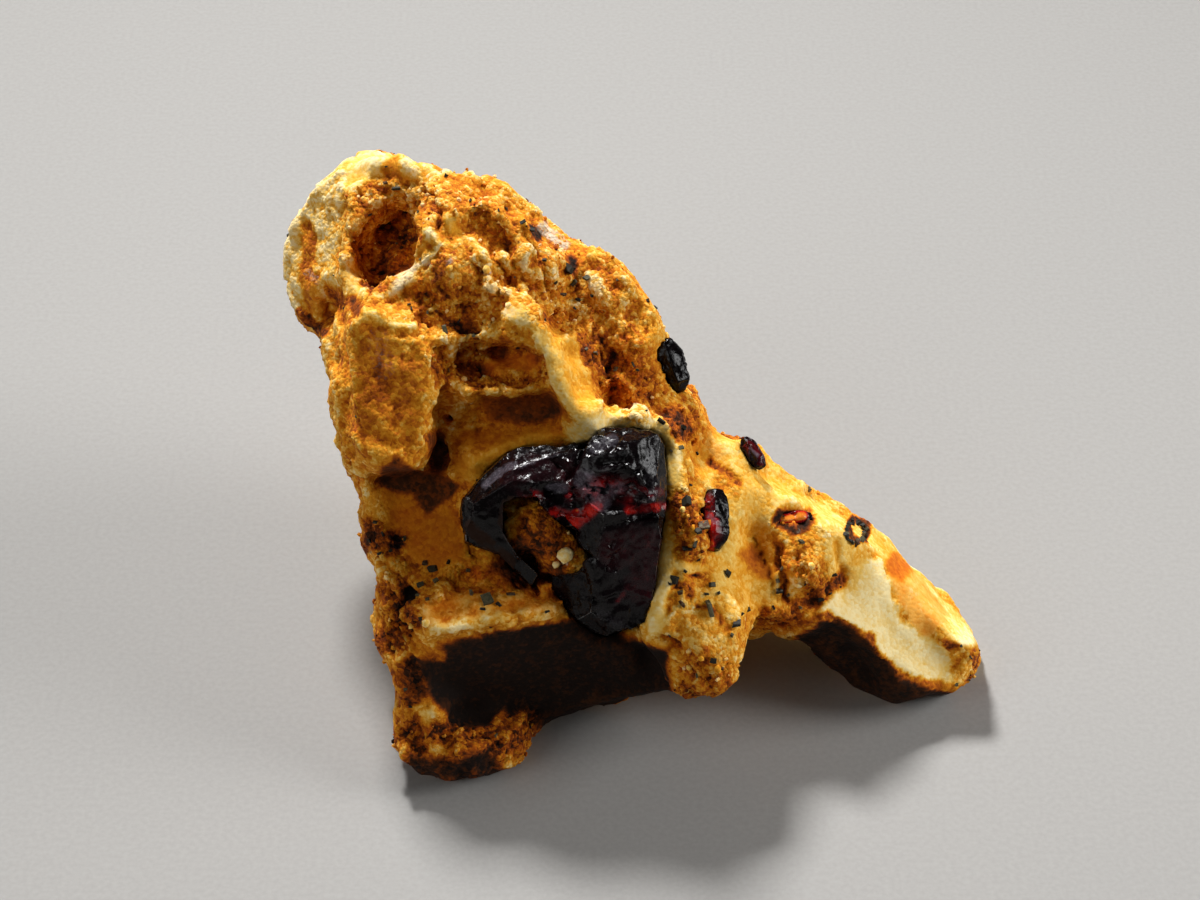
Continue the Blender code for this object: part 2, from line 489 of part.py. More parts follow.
def depth_inside(drawn, corners):
    """How far each drawn position lies inside a polygon. It is negative outside."""
    inside = np.zeros(len(drawn), dtype=bool)
    nearest = np.full(len(drawn), np.inf)
    for start, end in zip(corners, np.roll(corners, -1, axis=0)):
        gap, _ = distance_to_path(drawn, ((*start, 0), (*end, 0)))
        nearest = np.minimum(nearest, gap)
        crosses = (start[1] > drawn[:, 1]) != (end[1] > drawn[:, 1])
        rise = end[1] - start[1] or 1.0  # a level side is never crossed
        meets = start[0] + (drawn[:, 1] - start[1]) / rise * (end[0] - start[0])
        inside ^= crosses & (drawn[:, 0] < meets)
    return np.where(inside, nearest, -nearest)


def flatten_facets(rock):
    """Brings the ground inside each of FACETS to the plane through its corners."""
    points, normals = surface_of(rock)
    facing = np.clip(normals[:, 2] / EDGE_FADE + 1, 0, 1)
    drawn = drawn_position(points)
    for corners in FACETS.values():
        corners = np.array(corners)
        ones = np.ones(len(corners))
        plane = np.linalg.lstsq(np.c_[corners[:, :2], ones], corners[:, 2], rcond=None)[0]
        depth = drawn @ plane[:2] + plane[2]
        inner = np.clip(depth_inside(drawn, corners[:, :2]) / FACET_EDGE + 0.5, 0, 1)
        weight = inner * inner * (3 - 2 * inner) * facing
        weight[np.abs(points[:, 2] - depth) > STROKE_DEPTH] = 0
        points[:, 2] += weight * (depth - points[:, 2])
    rock.data.vertices.foreach_set("co", points.ravel())
    add_voxels(rock, GRID)
    apply_modifiers(rock)


def break_back(rock):
    """Flattens the back of the stone along its broken faces, and leaves the display face alone."""
    points, normals = surface_of(rock)
    turned_away = np.clip((-0.15 - normals[:, 2]) / 0.4, 0, 1)
    behind = turned_away * np.clip((BACK_STARTS - points[:, 2]) / 3, 0, 1)
    for point, facing, reach in BREAKS:
        out = np.array(Vector(facing).normalized())
        offset = points - np.array(placed(point))
        beyond = np.clip(offset @ out, 0, None)
        near = np.clip(2 - 2 * np.linalg.norm(offset, axis=1) / reach, 0, 1)
        points -= BREAK_STRENGTH * (behind * near * beyond)[:, None] * out
    for index, point in enumerate(points):
        swell = ridged(Vector(point) / HEAVE_SIZE + Vector((3, 8, 5)))
        points[index] += normals[index] * behind[index] * HEAVE * swell
    rock.data.vertices.foreach_set("co", points.ravel())


def roughen(rock):
    """Raises bumps over the whole rock, low ones on smooth ground."""
    points, normals = surface_of(rock)
    height = np.full(len(points), BUMPS)
    for reach, *path in SMOOTH_GROUND.values():
        gap, depth = distance_to_path(drawn_position(points), path)
        near = np.clip(1.6 - 1.6 * gap / reach, 0, 1)
        near[np.abs(points[:, 2] - depth) > 4] = 0
        height = np.minimum(height, BUMPS + near * (SMOOTH_BUMPS - BUMPS))
    bump = np.empty(len(points))
    for index, point in enumerate(points):
        here = Vector(point)
        broad = ridged(here / BROAD_BUMP_SIZE)
        fine = ridged(here / FINE_BUMP_SIZE + Vector((7, 3, 1)))
        bump[index] = 0.7 * broad + 0.5 * fine - 0.5
    points += normals * (height * bump)[:, None]
    rock.data.vertices.foreach_set("co", points.ravel())


def drawn_out(name, profile, depths, facets, collection):
    """A profile drawn out between two depths and cut by facets."""
    bm = bmesh.new()
    back, front = depths
    face = bm.faces.new([bm.verts.new(placed((u, v, back))) for u, v in profile])
    grown = bmesh.ops.extrude_face_region(bm, geom=[face])["geom"]
    for vert in [g for g in grown if isinstance(g, bmesh.types.BMVert)]:
        vert.co = Vector((vert.co.x, vert.co.y, 0)) * spread(front) / spread(back) + Vector((0, 0, front))
    bmesh.ops.recalc_face_normals(bm, faces=bm.faces[:])
    for point, facing in facets:
        geometry = bm.verts[:] + bm.edges[:] + bm.faces[:]
        cut = bmesh.ops.bisect_plane(
            bm, geom=geometry, plane_co=placed(point), plane_no=Vector(facing).normalized(), clear_outer=True
        )
        open_edges = [e for e in cut["geom_cut"] if isinstance(e, bmesh.types.BMEdge)]
        bmesh.ops.contextual_create(bm, geom=open_edges)
    bmesh.ops.recalc_face_normals(bm, faces=bm.faces[:])
    return new_object(name, bm, collection)


def clean(obj):
    """Merges doubled vertices, clears faces of no area, and deletes flakes that the cuts left loose."""
    bm = bmesh.new()
    bm.from_mesh(obj.data)
    bmesh.ops.remove_doubles(bm, verts=bm.verts[:], dist=0.004)
    bmesh.ops.dissolve_degenerate(bm, edges=bm.edges[:], dist=0.004)
    left = set(bm.verts)
    islands = []
    while left:
        island = []
        queue = [left.pop()]
        while queue:
            vert = queue.pop()
            island.append(vert)
            for edge in vert.link_edges:
                other = edge.other_vert(vert)
                if other in left:
                    left.discard(other)
                    queue.append(other)
        islands.append(island)
    islands.sort(key=len)
    for island in islands[:-1]:
        bmesh.ops.delete(bm, geom=island, context="VERTS")
    bm.to_mesh(obj.data)
    bm.free()


def large_crystal(parts, cutters):
    blocks = []
    for name, (profile, depths, facets) in CRYSTAL_BLOCKS.items():
        blocks.append(drawn_out("crystal_" + name, profile, depths, facets, parts))
    crystal, head = blocks
    add_boolean(crystal, "UNION", head)
    for number, (centre, half_sizes) in enumerate(CHIPS):
        bm = bmesh.new()
        bmesh.ops.create_icosphere(bm, subdivisions=2, radius=1.0)
        for vert in bm.verts:
            vert.co *= 1 + 0.25 * noise.noise(vert.co * 1.3 + Vector(centre))
        place = Matrix.Translation(placed(centre)) @ Matrix.Diagonal((*half_sizes, 1))
        bmesh.ops.transform(bm, matrix=place, verts=bm.verts[:])
        add_boolean(crystal, "DIFFERENCE", new_object(f"chip_{number}", bm, cutters))
    apply_modifiers(crystal)
    bpy.data.objects.remove(head)
    clean(crystal)
    crystal.name = "clinohumite_crystal"
    return crystal


def small_crystal(name, centre, half_length, half_width, axis, collection):
    """A short six-sided crystal, tapered to a small flat at each end."""
    bm = bmesh.new()
    end_width = 0.45
    rings = ((-0.55, 1.0), (0.5, 0.95), (1.0, 0.5))  # place along the half length, part of the half width
    bmesh.ops.create_circle(bm, segments=6, radius=end_width * half_width)
    bmesh.ops.translate(bm, vec=(0, 0, -half_length), verts=bm.verts[:])
    loop = bm.edges[:]
    bmesh.ops.contextual_create(bm, geom=loop)
    for along, width in rings:
        grown = bmesh.ops.extrude_edge_only(bm, edges=loop)["geom"]
        loop = [g for g in grown if isinstance(g, bmesh.types.BMEdge)]
        for vert in [g for g in grown if isinstance(g, bmesh.types.BMVert)]:
            flat = Vector((vert.co.x, vert.co.y, 0)).normalized() * width * half_width
            vert.co = flat + Vector((0, 0, along * half_length))
    bmesh.ops.contextual_create(bm, geom=loop)
    bmesh.ops.recalc_face_normals(bm, faces=bm.faces[:])
    turn = Vector(axis).to_track_quat("Z", "Y").to_matrix().to_4x4()
    bmesh.ops.transform(bm, matrix=Matrix.Translation(placed(centre)) @ turn, verts=bm.verts[:])
    return new_object(name, bm, collection)


def cut_socket(rock, crystal, cutters):
    """Leaves room for a crystal in the rock."""
    bm = bmesh.new()
    bm.from_mesh(crystal.data)
    bmesh.ops.remove_doubles(bm, verts=bm.verts[:], dist=0.01)
    bm.normal_update()
    moves = []
    for vert in bm.verts:
        moves.append(vert.normal * SOCKET_GAP * min(vert.calc_shell_factor(), 1.8))
    for vert, move in zip(bm.verts, moves):
        vert.co += move
    socket = new_object(crystal.name + "_socket", bm, cutters)
    add_boolean(rock, "DIFFERENCE", socket)


def stand_up(objects):
    """Leans the display face back."""
    tilt = math.radians(DISPLAY_TILT)
    across = Vector((1, 0, 0))
    up_face = Vector((0, math.sin(tilt), math.cos(tilt)))
    out = Vector((0, -math.cos(tilt), math.sin(tilt)))
    turn = Matrix((across, up_face, out)).transposed().to_4x4()
    place = Matrix.Translation((0, 0, FACE_HEIGHT)) @ turn
    for obj in objects:
        obj.data.transform(place)


def thin_out(rock):
    count = sum(len(p.vertices) - 2 for p in rock.data.polygons)
    thin = rock.modifiers.new("thin", "DECIMATE")
    thin.ratio = min(1.0, MATRIX_TRIANGLES / count)
    apply_modifiers(rock)


def cut_rests(rock, cutters):
    """Cuts the feet off level, on the plane the stone rests on."""
    bm = bmesh.new()
    bmesh.ops.create_cube(bm, size=1.0)
    below = Matrix.Translation((0, 0, -10)) @ Matrix.Diagonal((200, 200, 20, 1))
    bmesh.ops.transform(bm, matrix=below, verts=bm.verts[:])
    add_boolean(rock, "DIFFERENCE", new_object("ground", bm, cutters))
    apply_modifiers(rock)
    clean(rock)


def settle(objects):
    """Moves the origin to the middle of the stone's footprint, and turns millimetres into metres."""
    corners = np.vstack([surface_of(obj)[0] for obj in objects])
    middle = (corners.min(axis=0) + corners.max(axis=0)) / 2
    for obj in objects:
        obj.data.transform(Matrix.Scale(MM, 4) @ Matrix.Translation((-middle[0], -middle[1], 0)))


def add_material(obj, name, colour, roughness):
    material = bpy.data.materials.get(name) or bpy.data.materials.new(name)
    material.use_nodes = True
    shader = material.node_tree.nodes["Principled BSDF"]
    shader.inputs["Base Color"].default_value = (*colour, 1)
    shader.inputs["Roughness"].default_value = roughness
    shader.inputs["Metallic"].default_value = 0
    obj.data.materials.clear()
    obj.data.materials.append(material)


def main():
    clear_scene()
    parts = bpy.data.collections.new("clinohumite_on_matrix")
    cutters = bpy.data.collections.new("cutters")
    for collection in (parts, cutters):
        bpy.context.scene.collection.children.link(collection)
    rock = rock_body(parts, cutters)
    bring_to_levels(rock)
    flatten_facets(rock)
    break_back(rock)
    roughen(rock)
    thin_out(rock)
    crystals = [large_crystal(parts, cutters)]
    for name, measures in SMALL_CRYSTALS.items():
        crystals.append(small_crystal(name, *measures, parts))
    for crystal in crystals:
        cut_socket(rock, crystal, cutters)
    apply_modifiers(rock)
    clean(rock)
    stand_up([rock] + crystals)
    cut_rests(rock, cutters)
    settle([rock] + crystals)
    add_material(rock, "ochre_host_rock", ROCK_COLOUR, 0.85)
    for crystal in crystals:
        add_material(crystal, "clinohumite", CRYSTAL_COLOUR, 0.15)
    for cutter in cutters.objects:
        cutter.hide_render = True
        cutter.display_type = "WIRE"


main()
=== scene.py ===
import math
from functools import partial

import bmesh
import bpy
import numpy as np
from mathutils import Matrix, Vector, noise
from mathutils.bvhtree import BVHTree


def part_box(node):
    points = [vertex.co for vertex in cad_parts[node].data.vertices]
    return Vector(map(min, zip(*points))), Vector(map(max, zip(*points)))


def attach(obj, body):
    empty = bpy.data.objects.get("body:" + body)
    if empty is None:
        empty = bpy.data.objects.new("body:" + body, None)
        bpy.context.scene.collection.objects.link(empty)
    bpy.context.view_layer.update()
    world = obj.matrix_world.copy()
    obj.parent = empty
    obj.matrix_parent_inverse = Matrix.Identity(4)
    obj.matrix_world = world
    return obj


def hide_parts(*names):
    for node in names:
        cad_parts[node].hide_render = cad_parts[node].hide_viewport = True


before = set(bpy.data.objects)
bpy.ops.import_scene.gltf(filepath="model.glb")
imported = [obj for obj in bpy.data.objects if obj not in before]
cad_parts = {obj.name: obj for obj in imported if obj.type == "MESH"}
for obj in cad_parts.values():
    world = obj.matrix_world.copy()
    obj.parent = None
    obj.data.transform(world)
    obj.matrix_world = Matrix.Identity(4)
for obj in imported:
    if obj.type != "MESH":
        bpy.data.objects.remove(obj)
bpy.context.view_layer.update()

# -----------------------------------------------------------------------------
# The host rock: a broken lump of carbonate rock soaked with limonite. Smooth cream and ochre faces are old
# parting surfaces; between them the iron-rich rock has weathered to rough, crumbling, pitted rust. The
# lump is one natural piece, broken off its outcrop and not worked.

MM = 0.001
FACE_TILT = math.radians(40)  # the display face looks this far above the horizon
VIEW_DISTANCE = 200.0  # the face is drawn in perspective, as from this far in front of it, in millimetres
FACE_HEIGHT = 22.5 * MM  # height of the drawing's middle above the surface the stone rests on
CRYSTAL_TO_MIDDLE = (9.52 * MM, 5.93 * MM)  # from the large crystal's lowest corner, across and back
WELD_GAP = 0.001 * MM  # loose corners of a CAD mesh closer than this are one corner
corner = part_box("clinohumite_crystal")[0]
FACE_ORIGIN = np.array((corner.x + CRYSTAL_TO_MIDDLE[0], corner.y + CRYSTAL_TO_MIDDLE[1], FACE_HEIGHT))
FACE_AXES = np.array((
    (1.0, 0.0, 0.0),
    (0.0, math.sin(FACE_TILT), math.cos(FACE_TILT)),
    (0.0, -math.cos(FACE_TILT), math.sin(FACE_TILT)),
))


def face_position(points):
    """Points of the whole scene, in metres, as (across, up the face, out of it) in millimetres."""
    return (points - FACE_ORIGIN) @ FACE_AXES.T / MM


def scene_position(points):
    """The other way round."""
    return points @ FACE_AXES * MM + FACE_ORIGIN


def drawn_position(points):
    """Where face points stand in the drawing of the face (u, v), in millimetres."""
    return points[:, :2] / (1 - points[:, 2:] / VIEW_DISTANCE)


def read_points(mesh):
    return np.array([vertex.co for vertex in mesh.vertices], dtype=float)


def read_normals(mesh):
    return np.array([normal.vector for normal in mesh.vertex_normals], dtype=float)


def write_points(mesh, points):
    mesh.vertices.foreach_set("co", points.ravel())
    mesh.update()


def new_mesh(name, bm):
    mesh = bpy.data.meshes.new(name)
    bm.to_mesh(mesh)
    bm.free()
    return mesh


def new_object(name, mesh):
    made = bpy.data.objects.new(name, mesh)
    bpy.context.scene.collection.objects.link(made)
    return made


def node_copy(node, name):
    """A new object with a merged copy of a CAD node's mesh, in face millimetres."""
    bm = bmesh.new()
    bm.from_mesh(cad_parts[node].data)
    bmesh.ops.remove_doubles(bm, verts=bm.verts[:], dist=WELD_GAP)
    mesh = new_mesh(name, bm)
    write_points(mesh, face_position(read_points(mesh)))
    mesh.materials.clear()
    return new_object(name, mesh)


def remesh(obj, size):
    """Rebuilds a closed shape on an even grid."""
    voxels = obj.modifiers.new("voxels", "REMESH")
    voxels.mode = "VOXEL"
    voxels.voxel_size = size
    graph = bpy.context.evaluated_depsgraph_get()
    mesh = bpy.data.meshes.new_from_object(obj.evaluated_get(graph))
    obj.modifiers.clear()
    obj.data = mesh


def eased(x):
    """0 below 0, 1 above 1 and a smooth step between."""
    x = np.clip(x, 0, 1)
    return x * x * (3 - 2 * x)


def gap_to_path(drawn, path):
    """From each drawn position to the nearest spot of a path."""
    nearest = np.full(len(drawn), np.inf)
    for start, end in zip(path, path[1:] or path):
        start, end = np.array(start), np.array(end)
        step = end - start
        along = np.clip(((drawn - start) @ step) / max(step @ step, 1e-9), 0, 1)
        nearest = np.minimum(nearest, np.linalg.norm(drawn - start - along[:, None] * step, axis=1))
    return nearest


def covered(drawn, path, reach):
    """1 on a path, down to 0 at this distance from it."""
    return eased(1.5 - 1.5 * gap_to_path(drawn, path) / reach)


def strongest(drawn, strokes):
    """The most that any stroke, of (strength, reach, path), gives to each drawn position."""
    most = np.zeros(len(drawn))
    for strength, reach, *path in strokes.values():
        most = np.maximum(most, strength * covered(drawn, path, reach))
    return most


def within(drawn, corners, edge):
    """1 inside a polygon and 0 outside, changing over this width along its sides."""
    gap = gap_to_path(drawn, corners + corners[:1])
    inside = np.zeros(len(drawn), dtype=bool)
    for start, end in zip(corners, corners[1:] + corners[:1]):
        crosses = (start[1] > drawn[:, 1]) != (end[1] > drawn[:, 1])
        rise = end[1] - start[1] or 1.0  # a level side is never crossed
        meets = start[0] + (drawn[:, 1] - start[1]) / rise * (end[0] - start[0])
        inside ^= crosses & (drawn[:, 0] < meets)
    return eased(np.where(inside, gap, -gap) / edge + 0.5)


def relief_of(drawn, forms):
    """Height that drawn forms, of (height, half width, path), give to each drawn position."""
    height = np.zeros(len(drawn))
    for rise, half_width, *path in forms.values():
        close = np.clip(1 - gap_to_path(drawn, path) / half_width, 0, 1)
        height += rise * (close if rise > 0 else eased(close))  # ridges are sharp, hollows are rounded
    return height


def field(points, size, shift, kind=noise.noise):
    """Noise at each point, its features this many millimetres across; the shift keeps fields apart."""
    scaled = points / size + shift
    return np.array([kind(Vector(p)) for p in scaled])


def cell_gap(position):
    """From a spot to the nearest of the centres that stand about one apart."""
    return noise.voronoi(position)[0][0]


def broken_height(position):
    """The height, from about -1 to 1, of ground broken into flat pieces about one across."""
    _, centres = noise.voronoi(position)
    heights = []
    for centre in centres[:3]:
        lean = 2 * noise.cell_vector(centre * 9.7) - Vector((1, 1, 1))
        heights.append(lean.z * 0.4 + (position - centre).dot(lean) * 1.2)
    return min(heights) + 0.4


# Broad patches of the display face, painted first: stain and roughness as below, then corners (u, v)
# Some patches paint shade rather than stain, as their comments say
PATCHES = {
    # The plate and the scoop below it are stained somewhat deeper than their own colour, as painted shade
    # over the lower left
    "plate": (0.44, 0.4, (-17, 7), (-15.9, 8.7), (-14.5, 8.8), (-12.7, 8), (-11.5, 7), (-11.5, 4),
        (-12.2, 0.7), (-12.5, -1.1), (-13.7, 0.2), (-16.7, 0.7),
    ),
    "column": (0.28, 0.1, (-3.9, 7.9), (-2.5, 8.5), (-0.5, 7), (0.1, 1.3), (-1.7, 2.5), (-3.1, 5.1)),
    "slot_shadow": (0.8, 0.1, (-14.7, -0.3), (-13.4, -0.2), (-12.3, -1.3), (-10.6, -1.7), (-9.3, -2.3),
        (-10.1, -3.4), (-11.4, -4.5), (-12.7, -2.9), (-14.7, -2.5),
    ),
    # The scoop: golden, stained deeper in part as painted shade over the lower left
    "scoop": (0.46, 0.05, (-14.7, -2.6), (-12.7, -2.9), (-11.4, -4.5), (-10.1, -3.4), (-9.5, -4.7),
        (-8.7, -7.1), (-10.7, -8.1), (-12.3, -7.3), (-14, -5.3),
    ),
    # The ledge top is golden ochre, painted a little paler as painted light where it catches the lamp
    "ledge_top": (0.26, 0.25, (-12, -10.4), (-9.7, -9.7), (-5.3, -9.6), (-1.7, -10.3), (-1.7, -11.2),
        (-3.3, -10.7), (-6.1, -11.1), (-8.8, -11.7), (-11.4, -12.1),
    ),
    # Painted shade: the face under the ledge, turned away from the lamps, is painted near black for its
    # shade
    "dark_face": (1, 0.05, (-12.5, -13.7), (-9.3, -12.7), (-7.1, -12.3), (-3.3, -11.4), (-1.3, -11.6),
        (2.7, -12.7), (4.5, -13.3), (5.3, -19.3), (-2.7, -20), (-5.1, -19), (-6.3, -17.2), (-7.2, -18.3),
        (-9.5, -18.3), (-11.1, -16.9), (-11.7, -16),
    ),
    # Painted shade: the underside of the arm, below its lit edge, is painted near black for the shade under
    # the arch
    "arm_under": (0.97, 0.1, (12.9, -12.7), (14.6, -11.4), (16.3, -11.6), (17.9, -12.6), (19, -13.8),
        (20.2, -15), (22.1, -15.8), (23.7, -16), (23.3, -17.7), (20, -19), (16, -16.7), (13.3, -14.7),
    ),
    "sheet": (0.22, 0, (3.9, 2.1), (5.1, 0.7), (5.3, -1.3), (4.5, -3.3), (5.1, -7.3), (4.1, -11.9),
        (3.2, -12.7), (3.2, -10), (4.3, -7.3),
    ),
    "arm": (0.04, 0, (15.7, -7.1), (18.7, -7.1), (20, -11.3), (23, -13), (23.8, -15.5), (22.1, -15.6),
        (20.1, -14.7), (18.9, -13.5), (17.9, -12.3), (16.3, -11.3), (14.6, -10.8), (15.3, -9.3),
    ),
    "oval": (0.27, 0, (19.1, -7.1), (19.7, -6.5), (20.8, -7.1), (21.7, -9), (22.9, -10.8), (22.5, -12.1),
        (21.3, -12.3), (20.2, -10.8), (19.3, -8.8),
    ),
}
